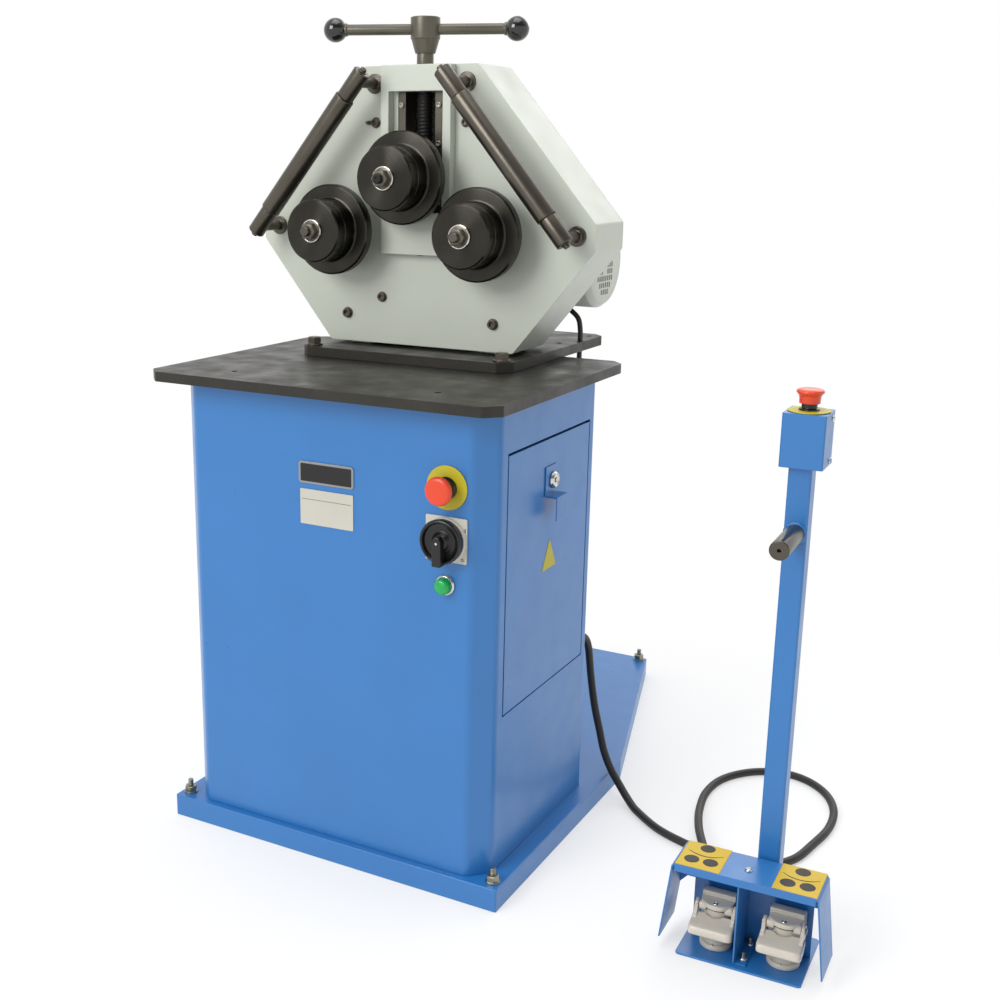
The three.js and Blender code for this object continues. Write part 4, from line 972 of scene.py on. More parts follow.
def socket_screw(axis: str, centre: Point3, seat: float, out: float, radius: float, head: float) -> Form:
    """A cylinder-head screw with a round recess.

    Args:
        axis: The axis' letter.
        centre: A point on the axis.
        seat: Where the head stands along the axis.
        out: The way that it points.
        radius: Of the head.
        head: Its height.

    Returns:
        The screw's head.
    """
    floor = head * 0.45
    profile = off(seat, out, (0, 0.0), (0, radius), (head, radius), (head, radius * 0.55),
                  (floor, radius * 0.5), (floor, 0.0))
    return lathe(eased(profile, 0.35), axis, centre, 24)


def pan_screw(axis: str, centre: Point3, seat: float, out: float, radius: float) -> Form:
    """A low round-headed screw with a small recess.

    Args:
        axis: The axis' letter.
        centre: A point on the axis.
        seat: Where the head stands along the axis.
        out: The way that it points.
        radius: Of the head.

    Returns:
        The screw's head.
    """
    top = radius * 0.62
    floor = top * 0.45
    profile = off(seat, out, (0, 0.0), (0, radius), (floor, radius * 0.96), (top * 0.85, radius * 0.7),
                  (top, radius * 0.32), (floor, radius * 0.24), (floor, 0.0))
    return lathe(eased(profile, radius * 0.1), axis, centre, 24)


# The pedal hose and the studio


@dataclass(frozen=True)
class PedalHose:
    """The ribbed hose between the cabinet and the pedal console, and its two glands."""

    crest: float = 6.3
    valley: float = 5.85
    pitch: float = 3.2
    end: Point3 = (-50.0, 87.9, 30.0)
    cuff: float = 10.0
    reach: float = 20.6

    def route(self, low: float) -> list[Point3]:
        """The points that the CAD hose follows.

        Args:
            low: The height of the centre line where the hose lies on the floor.

        Returns:
            Points in the machine's millimetres.
        """
        x, y, z = HOSE_START
        u, v, w = self.end
        across = math.cos(CONSOLE_TURN)
        along = math.sin(CONSOLE_TURN)
        at_console = [(u - 8.1, v + 50, w - 2), (u - 3, v + 36, w - 0.6), (u - 0.6, v + 24, w),
                      (u, v + 14, w), (u, v + 7, w), (u, v, w)]
        return [
            (x, y, z), (x, y + 7, z), (x, y + 14, z), (222, 219.5, 258), (222, 236.8, 246.8),
            (222.2, 248.4, 229), (223.4, 252.6, 207), (227, 251.5, 182), (239.6, 242, 134.8), (252, 236, 98),
            (264.2, 228, 67.4), (280, 220, 43), (297, 212, 26), (318, 197, 12), (340.6, 175.8, low),
            (389.3, 137, low), (433.6, 117, low), (478, 105, low), (530, 104, low), (568, 118, low),
            (593, 150, low), (607, 208, low), (616, 271, low), (609, 333, low), (585, 382, low),
            (550, 412, low), (514, 421, low), (476, 409, low), (446, 382, low), (425, 343, low),
            (418, 291, low), (427, 228, low + 2), (447, 160, low + 9), (469, 107, low + 14),
            (500, 44, low + 18),
            *[(CONSOLE_X + a * across - b * along, CONSOLE_Y + a * along + b * across, height)
              for a, b, height in at_console],
        ]

    def build(self) -> None:
        """Makes the hose, whose radius follows the root of a raised cosine, and the glands."""
        low = self.crest + 0.1
        path, run = even_steps(through(self.route(low)), self.pitch / 4)
        path[:, 2] = np.maximum(path[:, 2], low)
        wave = 0.5 - 0.5 * np.cos(FULL_TURN * run / self.pitch)
        radii = self.valley + (self.crest - self.valley) * np.sqrt(wave)
        radii[(run < self.cuff) | (run > run[-1] - self.cuff)] = self.valley
        hose = piece("ribbed_hose", tube(path, radii, 18), Look.RUBBER, replaces=["pedal_hose"])
        ends = (("cabinet", HOSE_START, MACHINE), ("console", self.end, CONSOLE))
        for name, (x, y, z), place in ends:
            gland = self.gland(y - self.reach, (x, 0, z))
            piece(f"gland_{name}", gland, Look.RUBBER, place, replaces=[f"hose_gland_{name}"])

    def gland(self, seat: float, centre: Point3) -> Form:
        """A cable gland: hexagon, dome nut and the lock nut inside the sheet.

        Args:
            seat: The sheet's outer face along Y.
            centre: A point on the gland's axis.

        Returns:
            The gland.
        """
        bore = 5.0
        foot = seat + GAP
        dome = off(foot, 1, (5, bore), (5, 9.6), (7, 9.6), (7, 10.6), (16, 10.2), (20, 7.2), (20, bore))
        inner = off(seat, 1, (-8, bore), (-8, 8.8), (1, 8.8), (1, bore))
        return joined([hexagon("y", 19.0, foot, foot + 5.2, centre), lathe(looped(dome), "y", centre, 32),
                       lathe(looped(inner), "y", centre, 32)])


@dataclass(frozen=True)
class Studio:
    """The photograph's camera in the machine's millimetres, degrees and pixels, the floor and the light."""

    position: Point3 = (968.917, -1631.418, 998.980)
    yaw: float = 29.6699
    pitch: float = -14.5962
    roll: float = 0.3507
    focal: float = 1323.58
    centre_u: float = 414.53
    centre_v: float = 497.56
    image: float = 1000.0
    sensor: float = 36.0
    floor_half: float = 7.0
    open_side: Point3 = (0.78, -0.62, 0.0)

    def camera(self) -> None:
        """Sets the camera where the photograph was taken."""
        yaw, pitch, roll = (math.radians(v) for v in (self.yaw, self.pitch, self.roll))
        forward = Vector((-math.sin(yaw) * math.cos(pitch), math.cos(yaw) * math.cos(pitch), math.sin(pitch)))
        right = Vector((math.cos(yaw), math.sin(yaw), 0.0))
        up = right.cross(forward)
        level = right * math.cos(roll) + up * math.sin(roll)
        upright = up * math.cos(roll) - right * math.sin(roll)
        data = bpy.data.cameras.new("photo_camera")
        data.sensor_width = self.sensor
        data.lens = self.focal / self.image * self.sensor
        data.shift_x = (self.image / 2 - self.centre_u) / self.image
        data.shift_y = (self.centre_v - self.image / 2) / self.image
        data.clip_end = 50.0
        camera = bpy.data.objects.new("photo_camera", data)
        bpy.context.scene.collection.objects.link(camera)
        where = Vector(MACHINE.metres(np.array([self.position]))[0])
        rotation = Matrix((level, upright, -forward)).transposed().to_4x4()
        camera.matrix_world = Matrix.Translation(where) @ rotation
        bpy.context.scene.camera = camera

    def area(self, name: str, position: Point3, target: Point3, size: float, power: float) -> None:
        """Adds a square white area light that looks at a target.

        Args:
            name: The light's name.
            position: Where it stands in metres.
            target: What it looks at.
            size: Its side in metres.
            power: In watts.
        """
        data = bpy.data.lights.new(name, "AREA")
        data.shape = "SQUARE"
        data.size = size
        data.energy = power
        light = bpy.data.objects.new(name, data)
        bpy.context.scene.collection.objects.link(light)
        light.location = position
        light.rotation_euler = (Vector(target) - Vector(position)).to_track_quat("-Z", "Y").to_euler()

    def floor(self) -> None:
        """A white floor that takes a soft shadow near the machine and glows evenly farther out."""
        h = self.floor_half
        mesh = bpy.data.meshes.new("floor")
        mesh.from_pydata([(-h, -h, 0), (h, -h, 0), (h, h, 0), (-h, h, 0)], [], [(0, 1, 2, 3)])
        floor = bpy.data.objects.new("floor", mesh)
        bpy.context.scene.collection.objects.link(floor)
        graph = Graph(bpy.data.materials.new("pale_floor"))
        shader = graph.node("ShaderNodeBsdfPrincipled", {"Base Color": (0.9, 0.9, 0.9, 1), "Roughness": 0.85,
                                                         "Specular IOR Level": 0.1})
        glow = graph.node("ShaderNodeEmission", {"Color": WHITE, "Strength": 1.0})
        away = graph.vector("LENGTH", graph.coordinates()).outputs["Value"]
        share = graph.span(away, 0.5, 1.5, 0.5, 1.0)
        ground = graph.node("ShaderNodeMixShader", {0: share, 1: shader.outputs[0], 2: glow.outputs[0]})
        graph.node("ShaderNodeOutputMaterial", {"Surface": ground.outputs[0]})
        mesh.materials.append(graph.owner)

    def sky(self) -> None:
        """A white surround, dim above the horizon to the front and the right, where the studio is open."""
        graph = Graph(bpy.data.worlds.new("studio"))
        where = graph.node("ShaderNodeTexCoord").outputs["Generated"]
        side = graph.vector("DOT_PRODUCT", where, self.open_side).outputs["Value"]
        dim = graph.span(side, 0.05, 0.7, 1.0, 0.22)
        height = graph.node("ShaderNodeSeparateXYZ", {0: where}).outputs["Z"]
        rise = graph.span(height, 0.2, 0.4, 0.0, 1.0)
        strength = graph.node("ShaderNodeMix", {0: rise, 2: 1.0, 3: dim}).outputs[0]
        background = graph.node("ShaderNodeBackground", {"Color": WHITE, "Strength": strength})
        graph.node("ShaderNodeOutputWorld", {"Surface": background.outputs[0]})
        bpy.context.scene.world = graph.owner

    def build(self) -> None:
        """Makes the floor, the world and the lights."""
        self.floor()
        self.sky()
        self.area("above", (0.0, -0.5, 3.6), (0.0, -0.1, 0.7), 2.2, 34.0)
        self.area("front", (-1.0, -3.1, 2.3), (-0.1, 0.0, 0.8), 1.5, 58.0)
        self.area("behind", (0.1, 2.9, 2.6), (0.0, 0.0, 1.0), 2.0, 20.0)
        bpy.context.scene.view_settings.view_transform = "Standard"


# The cabinet and its foot


@dataclass(frozen=True)
class BaseTray:
    """The folded sheet foot with its levelling bolts."""

    half: float = 276.5
    front: float = -187.0
    middle: float = 275.0
    rear: float = 728.5
    rear_half: float = 155.0
    height: float = 34.0
    sheet: float = 3.0
    bolts: tuple[Point2, ...] = ((-262.0, -168.0), (262.0, -168.0), (-143.0, 716.0), (143.0, 716.0))

    def outline(self, inset: float) -> list[Point2]:
        """The plan of the tray.

        Args:
            inset: How far it is drawn in.

        Returns:
            Its six corners.
        """
        w = self.half - inset
        r = self.rear_half - inset
        front = self.front + inset
        rear = self.rear - inset
        return [(-w, front), (w, front), (w, self.middle), (r, rear), (-r, rear), (-w, self.middle)]

    def build(self) -> None:
        """Makes the tray and its bolts."""
        top = self.height
        shell = carved(prism(eased(self.outline(0), 2.5, closed=True), "z", 0, top),
                       prism(self.outline(self.sheet), "z", -5, top - self.sheet))
        piece("tray_sheet", shell, Look.BLUE, replaces=["base_tray"], edge=Edge(1.2, 3))
        for i, (x, y) in enumerate(self.bolts):
            centre = (x, y, 0)
            nut = joined([disc("z", 10.4, top - 0.2, top + 2.2, centre),
                          hexagon("z", 16.2, top + 2.1, top + 11.2, centre)])
            piece(f"levelling_nut_{i}", nut, Look.STEEL)
            stud = threaded(4.1, 0.5, 1.4, top + 8, top + 20.9, "z", centre)
            piece(f"levelling_stud_{i}", stud, Look.STEEL)


@dataclass(frozen=True)
class Door:
    """The door on the cabinet's right side, its pull and its lock."""

    frame: dict
    front: float = -125.0
    rear: float = 143.0
    bottom: float = 258.5
    top: float = 621.0
    slit: float = 3.0
    lock_y: float = 13.0
    lock_z: float = 562.0
    lock_depth: float = 22.0

    def build(self) -> None:
        """Makes the door, its pull, its lock and its plain label."""
        dressed(self.frame, "cabinet_door", Look.BLUE, "door", Edge(0.5, 2))
        dressed(self.frame, "door_pull", Look.BLUE, "door", Edge(0.5, 2))
        out = CABINET_HALF + GAP + 1.6 + GAP
        inside = CABINET_HALF - self.lock_depth
        y, z = self.lock_y, self.lock_z
        centre = (0.0, y, z)
        bezel = off(out, 1, (0, 0.0), (0, 12.0), (2, 12.0), (4.4, 10.6), (5.6, 9.4), (5.2, 8.4), (4.2, 8.0),
                    (4.2, 0.0))
        stem = disc("x", 9.0, inside, out + 1, centre, 0.6, 32)
        cam = prism(rectangle(y - 72, y + 9, z - 7, z + 7, 3.0), "x", inside, inside + 3)
        lock = joined([lathe(eased(bezel, 0.5), "x", centre, 48), stem, cam])
        piece("lock_cylinder", lock, Look.CHROME, body="lock", replaces=["door_lock"])
        # A black square in the bezel's centre stands for the keyway: painted shade where the recess shows
        # dark
        recess = prism(rectangle(y - 3.3, y + 3.3, z - 3.3, z + 3.3, 0.8), "x", out + 3.9, out + 4.5)
        piece("keyway_painted_shade", recess, Look.BLACK, body="lock")
        slot = [(y - 2.0, z - 1.6), (y + 1.0, z - 1.9), (y + 1.8, z + 1.9), (y - 1.2, z + 1.6)]
        piece("lock_plug", prism(slot, "x", out + 4.2, out + 5.0), Look.CHROME, body="lock")
        triangle = eased([(-11.5, 433.2), (35.5, 433.2), (12.0, 476.4)], 1.2, closed=True)
        skin = CABINET_HALF + 0.05
        piece("door_label", prism(triangle, "x", skin, skin + 0.35), Look.YELLOW, body="door")


@dataclass(frozen=True)
class Cabinet:
    """The sheet cabinet and the electrical panel inside it."""

    frame: dict
    door: Door
    front: float = -175.5
    chamfer: float = 28.0
    sheet: float = 2.5
    bottom: float = 34.3
    top: float = 686.7
    bend: float = 7.0

    def outline(self, inset: float) -> list[Point2]:
        """The plan of the shell, its bends round.

        Args:
            inset: How far it is drawn in.

        Returns:
            The rounded run of points.
        """
        w = CABINET_HALF - inset
        k = self.chamfer - inset * 0.414
        f = self.front + inset
        r = CABINET_REAR - inset
        corners = [(-w + k, f), (w - k, f), (w, f + k), (w, r), (-w, r), (-w, f + k)]
        return eased(corners, max(1.0, self.bend - inset), 4, True)

    def build(self) -> None:
        """Makes the shell and the panel."""
        self.shell()
        self.panel()

    def shell(self) -> None:
        """The folded walls with the doorway and the holes."""
        d = self.door
        walls = prism(self.outline(0), "z", self.bottom, self.top, [self.outline(self.sheet)])
        doorway = box(CABINET_HALF - 6, CABINET_HALF + 5, d.front - d.slit, d.rear + d.slit, d.bottom - GAP,
                      d.top + d.slit + 0.5)
        controls = ((STOP_PLACE, 11.4), (SWITCH_PLACE, 12.4), (LAMP_PLACE, 11.4))
        holes = [rod("y", radius, -200, -160, (x, 0, z), 32) for (x, z), radius in controls]
        cable = rod("y", 6.9, 150, 190, CABLE_PLACE, 24)
        hose = rod("y", 9.4, 150, 190, (HOSE_START[0], 0, HOSE_START[2]), 24)
        shell = carved(walls, doorway, *holes, cable, hose)
        piece("cabinet_walls", shell, Look.BLUE, replaces=["cabinet_shell"], edge=Edge(0.6, 2))
        for name, z0 in (("bottom", self.bottom), ("top", self.top - 3)):
            rim = prism(self.outline(1), "z", z0, z0 + 3, [self.outline(24)])
            piece(f"cabinet_flange_{name}", rim, Look.BLUE, edge=Edge(0.5, 1))

    def panel(self) -> None:
        """The zinc panel with its contactors, transformer and terminal rail."""
        dressed(self.frame, "electrics_panel", Look.ZINC, edge=None)
        back = CABINET_REAR - self.sheet - GAP
        rail = back - 4
        deep, low, high = 72.4, 499.6, 580.4
        for i, (x0, x1) in enumerate(((-110.4, -49.6), (-44.4, 0.4))):
            block = box(x0, x1, back - deep, back - 2.2, low, high)
            piece(f"contactor_{i}", block, Look.BLACK, edge=Edge(1.5, 2))
            keys = [box(x, x + 5, back - deep - 1.4, back - deep + 2, low + 8, low + 20)
                    for x in np.arange(x0 + 6, x1 - 8, 12)]
            piece(f"contactor_terminals_{i}", joined(keys), Look.STEEL, edge=Edge(0.3, 1))
        sheets = [box(20.5 + 6 * k, 24.5 + 6 * k, back - 80.4, rail, 479.6, 570.4) for k in range(15)]
        piece("transformer_core", joined(sheets), Look.OILED, edge=Edge(0.4, 1))
        blocks = [box(x, x + 8.6, back - 40.6, rail, 369.6, 410.4) for x in np.arange(-115, 105, 9.6)]
        piece("terminal_row", joined(blocks), Look.SWITCH, edge=Edge(0.5, 1))


# The table, the head's plate and the head


@dataclass(frozen=True)
class Plates:
    """The black table and the head's base plate with its bolts."""

    table_half: float = 276.0
    table_depth: float = 217.5
    table_bottom: float = 687.0
    table_top: float = 701.0
    table_corner: float = 20.0
    half: float = 177.0
    front: float = 18.3
    rear: float = 382.3
    bottom: float = 701.3
    top: float = 715.8
    corner: float = 18.0
    hole: float = 4.5
    bolts: tuple[Point2, ...] = ((-158, 37), (158, 37), (-100, 215), (100, 215))

    def build(self) -> None:
        """Makes both plates and their bolts."""
        w, d = self.table_half, self.table_depth
        outline = eased(octagon(-w, w, -d, d, self.table_corner), 3.0, closed=True)
        holes = [circle(x, -157, self.hole) for x in (-163, 163)]
        table = prism(outline, "z", self.table_bottom, self.table_top, holes)
        piece("table_plate", table, Look.PLATE, replaces=["table_top"], edge=Edge(0.9, 3))
        outline = eased(octagon(-self.half, self.half, self.front, self.rear, self.corner), 2.5, closed=True)
        holes = [circle(x, y, self.hole) for x, y in ((152, 251), (-152, 251), (160, 352), (-160, 352))]
        holes.append(circle(170, 290, 5.4))
        plate = prism(outline, "z", self.bottom, self.top, holes)
        piece("head_plate", plate, Look.PLATE, replaces=["head_base_plate"], edge=Edge(0.9, 3))
        for i, (x, y) in enumerate(self.bolts):
            piece(f"plate_bolt_{i}", hex_bolt("z", (x, y, 0), self.top, 1, 19.0, 12.4), Look.OILED)


@dataclass(frozen=True)
class Head:
    """The eight-cornered casing, its cover, the slide and what guides it."""

    top_half: float = 92.0
    shoulder_half: float = 275.3
    bottom_half: float = 154.5
    shoulder_top: float = 906.0
    shoulder_bottom: float = 869.0
    bottom: float = 720.5
    rear: float = 178.0
    wall: float = 5.0
    face: float = 8.0
    frame_front: float = 64.0
    window_bottom: float = 913.0
    window_top: float = 1086.0
    ways_rear: float = 118.5
    ways_bottom: float = 883.0
    ways_top: float = 1117.6
    # Centre, radius and upper cut of a flat dark half disc that paints the shade in a round hole under the
    # slide frame
    plug: Point2 = (2.0, 890.0)
    hole_shade_radius: float = 37.0
    hole_shade_top: float = 858.0

    def outline(self, inset: float) -> list[Point2]:
        """The casing's front outline.

        Args:
            inset: How far it is drawn in.

        Returns:
            Its eight corners.
        """
        steep, gentle = inset * 0.46, inset * 0.48
        s = self.shoulder_half - inset
        t = self.top_half - steep
        b = self.bottom_half - gentle
        up = self.shoulder_top - steep
        low = self.shoulder_bottom + gentle
        foot = self.bottom + inset
        top = CASING_TOP - inset
        return [(-b, foot), (b, foot), (s, low), (s, up), (t, top), (-t, top), (-s, up), (-s, low)]

    def build(self) -> None:
        """Makes the casing, its fittings, the cover and the slide."""
        self.casing()
        self.fittings()
        self.cover()
        self.slide()

    def casing(self) -> None:
        """The welded casing with its window, ways, feet and bearing bosses."""
        screw_hole = rod("z", 12.6, 1080, 1130, (0, SCREW_Y, 0))
        low, high = self.window_bottom, self.window_top
        shell = carved(
            prism(eased(self.outline(0), 2.5, closed=True), "y", CASING_FRONT, self.rear),
            prism(self.outline(self.wall), "y", CASING_FRONT + self.face, self.rear + 5),
            box(-36.3, 36.3, 60, 86.3, low, high),
            box(-30.3, 30.3, 60, 140, low, high),
            screw_hole,
            *[rod("y", 15.5, 40, 130, (x, 0, LOW_ROLL_Z)) for x in (-LOW_ROLL_X, LOW_ROLL_X)],
        )
        piece("casing_shell", shell, Look.GREY, replaces=["head_casing"], edge=Edge(1.3, 3))
        ways = joined([
            box(-50, -30.3, 80, self.ways_rear, self.ways_bottom, self.ways_top),
            box(30.3, 50, 80, self.ways_rear, self.ways_bottom, self.ways_top),
            carved(box(-40, 40, 80, self.ways_rear, high, self.ways_top), screw_hole),
            box(-50, 50, 116.5, 124.5, self.ways_bottom, 905),
        ])
        piece("casing_ways", ways, Look.OILED, edge=Edge(0.5, 1))
        feet = [box(x - 18, x + 18, 95, 165, 716.1, 724) for x in (-110, 110)]
        piece("casing_feet", joined(feet), Look.GREY, edge=Edge(0.8, 2))
        boss = looped([(66, 15.5), (66, 36.2), (79.2, 36.2), (100, 36.2), (100, 15.5)], 1.0)
        for i, x in enumerate((-LOW_ROLL_X, LOW_ROLL_X)):
            piece(f"bearing_boss_{i}", lathe(boss, "y", (x, 0, LOW_ROLL_Z)), Look.GREY)

    def fittings(self) -> None:
        """The screws, the grease nipple, and a near-black half disc painted as the shade in a hole on the
        face.
        """
        out = CASING_FRONT
        screws = ((-73.5, 1041, 5.6), (73.5, 1041, 4.7), (-63, 790, 5.6), (-124, 763, 6.2), (122.5, 761, 6.2))
        for i, (x, z, r) in enumerate(screws):
            screw = joined([socket_screw("y", (x, 0, z), out + 0.5, -1, r + 0.4, r + 0.7),
                            disc("y", r + 2.2, out + 0.4, out - 0.9, (x, 0, z), 0.3, 32)])
            piece(f"face_screw_{i}", screw, Look.OILED)
        nipple = off(out, -1, (-1, 0), (-1, 3.2), (2.5, 3.2), (3, 1.6), (5.5, 1.6), (6.5, 2.6), (9, 2.2),
                     (10, 0))
        piece("grease_nipple", lathe(eased(nipple, 0.3), "y", (-84.5, 0, 1041), 24), Look.OILED)
        # A flat near-black half disc below the slide frame: painted shade where a hole in the face shows dark
        sweep = np.radians(np.linspace(-152.0, -28.0, 33))
        arc = np.array(self.plug) + self.hole_shade_radius * np.column_stack([np.cos(sweep), np.sin(sweep)])
        low = arc[arc[:, 1] < self.hole_shade_top].tolist()
        piece("hole_shade_disc", prism(low, "y", out - 0.25, out + 0.5), Look.DARK_OXIDE_AND_SHADE)

    def cover(self) -> None:
        """The rear cover with its screws, and the gearbox's seat."""
        back = self.rear + GAP
        sheet = carved(prism(eased(self.outline(0), 2.5, closed=True), "y", back, back + 3),
                       rod("y", 18, 170, 190, (0, 0, LOW_ROLL_Z)))
        boss = looped([(166, 15.9), (166, 30), (back + 1, 30), (back + 1, 15.9)], 0.4)
        bosses = [lathe(boss, "y", (x, 0, LOW_ROLL_Z)) for x in (-LOW_ROLL_X, LOW_ROLL_X)]
        piece("rear_cover", joined([sheet, *bosses]), Look.GREY, replaces=["head_rear_cover"],
              edge=Edge(0.6, 2))
        long_side = 150
        corners = self.outline(16)
        middles = [((a[0] + b[0]) / 2, (a[1] + b[1]) / 2) for a, b in zip(corners, corners[1:])
                   if abs(a[0] - b[0]) + abs(a[1] - b[1]) > long_side]
        screws = [pan_screw("y", (u, 0, v), back + 2.9, 1, 4.2) for u, v in corners + middles]
        piece("cover_screws", joined(screws), Look.OILED)

    def slide(self) -> None:
        """The slide frame on the face, the gibs and the sliding block."""
        frame = prism(rectangle(-57, 57, 855, CASING_TOP), "y", self.frame_front, CASING_FRONT - GAP,
                      [rectangle(-44, 44, 915.5, 1083.5)])
        piece("slide_window_frame", frame, Look.GREY, replaces=["slide_frame"], edge=Edge(0.9, 3))
        for side, name in ((-1, "gib_strip_left"), (1, "gib_strip_right")):
            near, far = sorted((24.0 * side, 36.0 * side))
            strip_form = box(near, far, CASING_FRONT, 86, 914, 1085)
            piece(f"{name}_bar", strip_form, Look.OILED, replaces=[name], edge=Edge(0.5, 2))
            for k, z in enumerate((1065, 1012, 930)):
                screw = socket_screw("y", (30.5 * side, 0, z), CASING_FRONT + 0.2, -1, 4.0, 2.8)
                piece(f"{name}_screw_{k}", screw, Look.STEEL)
        low, high, bore = 934, 1000, 15.6
        axis = (0, 0, TOP_ROLL_Z)
        hole = rod("y", bore, 50, 130, axis)
        tip = rod("z", 6.5, 984, 1005, (0, SCREW_Y, 0), 32)
        block = carved(box(-30, 30, 86.3, self.ways_rear, low, high), hole, tip)
        tongue = carved(box(-23.7, 23.7, 77, 87, low, high), hole)
        boss = lathe(looped([(66, bore), (66, 23), (80, 23), (80, bore)], 0.8), "y", axis)
        piece("sliding_block", joined([block, tongue, boss]), Look.OILED, body="slide",
              replaces=["slide_block"], edge=Edge(0.6, 2))


@dataclass(frozen=True)
class LiftScrew:
    """The lift screw, its hub and the T bar with two balls."""

    radius: float = 12.0
    pitch: float = 5.0
    hub_foot: float = 1135.3
    shoulder: float = 1155.0
    top: float = 1185.0
    hub: float = 21.0
    bar_z: float = 1168.0
    bar: float = 7.5
    half: float = 130.0
    ball: float = 17.0
    turn: float = 20.4

    def build(self) -> None:
        """Makes the screw with a real thread, the hub and the bar."""
        centre = (0.0, SCREW_Y, 0.0)
        # The thread's near-black finish is partly its dark oxide and partly painted shade, as it stands
        # inside the casing's window
        thread = threaded(self.radius, 1.3, self.pitch, 1000.3, 1112.0, "z", centre, 40)
        tip = disc("z", 6.0, 986, 1000.6, centre, 0.8)
        piece("screw_thread", joined([thread, tip]), Look.DARK_OXIDE_AND_SHADE, body="screw", replaces=["lift_screw"])
        neck = disc("z", self.radius, 1111, self.hub_foot + 1, centre, 0.8, 64)
        rim = self.top - 0.6
        hub = eased([(self.hub_foot, 0), (self.hub_foot, self.radius + 2.3),
                     (self.shoulder - 0.4, self.hub - 1.0), (self.shoulder, self.hub),
                     (self.top - 1, self.hub), (self.top, self.hub - 3), (rim, self.hub - 8), (rim, 0)], 0.8)
        piece("screw_hub", joined([neck, lathe(hub, "z", centre, 72)]), Look.HANDLE, body="screw")
        turn = Matrix.Translation((0, SCREW_Y, self.bar_z)) @ Matrix.Rotation(math.radians(self.turn), 4, "Z")
        middle = (0, 0, 0)
        parts = [disc("x", self.bar, -self.half, self.half, middle, 0.5, 40)]
        for way in (-1, 1):
            collar = off(way * (self.half - self.ball), way, (-1.5, self.bar - 0.2), (-0.5, self.bar + 1.2),
                         (2, self.bar + 1.6), (5, self.bar - 0.2))
            parts.append(lathe(looped(collar), "x", middle, 40))
        piece("handle_bar_rod", joined(parts).moved(turn), Look.HANDLE, body="screw", replaces=["handle_bar"])
        for way, name in ((-1, "near"), (1, "far")):
            arc = np.linspace(0.0, math.pi, 33)
            along = way * self.half - self.ball * np.cos(arc)
            profile = np.column_stack([along, self.ball * np.sin(arc)]).tolist()
            piece(f"handle_ball_{name}", lathe(profile, "x", middle, 56).moved(turn), Look.BALL, body="screw")


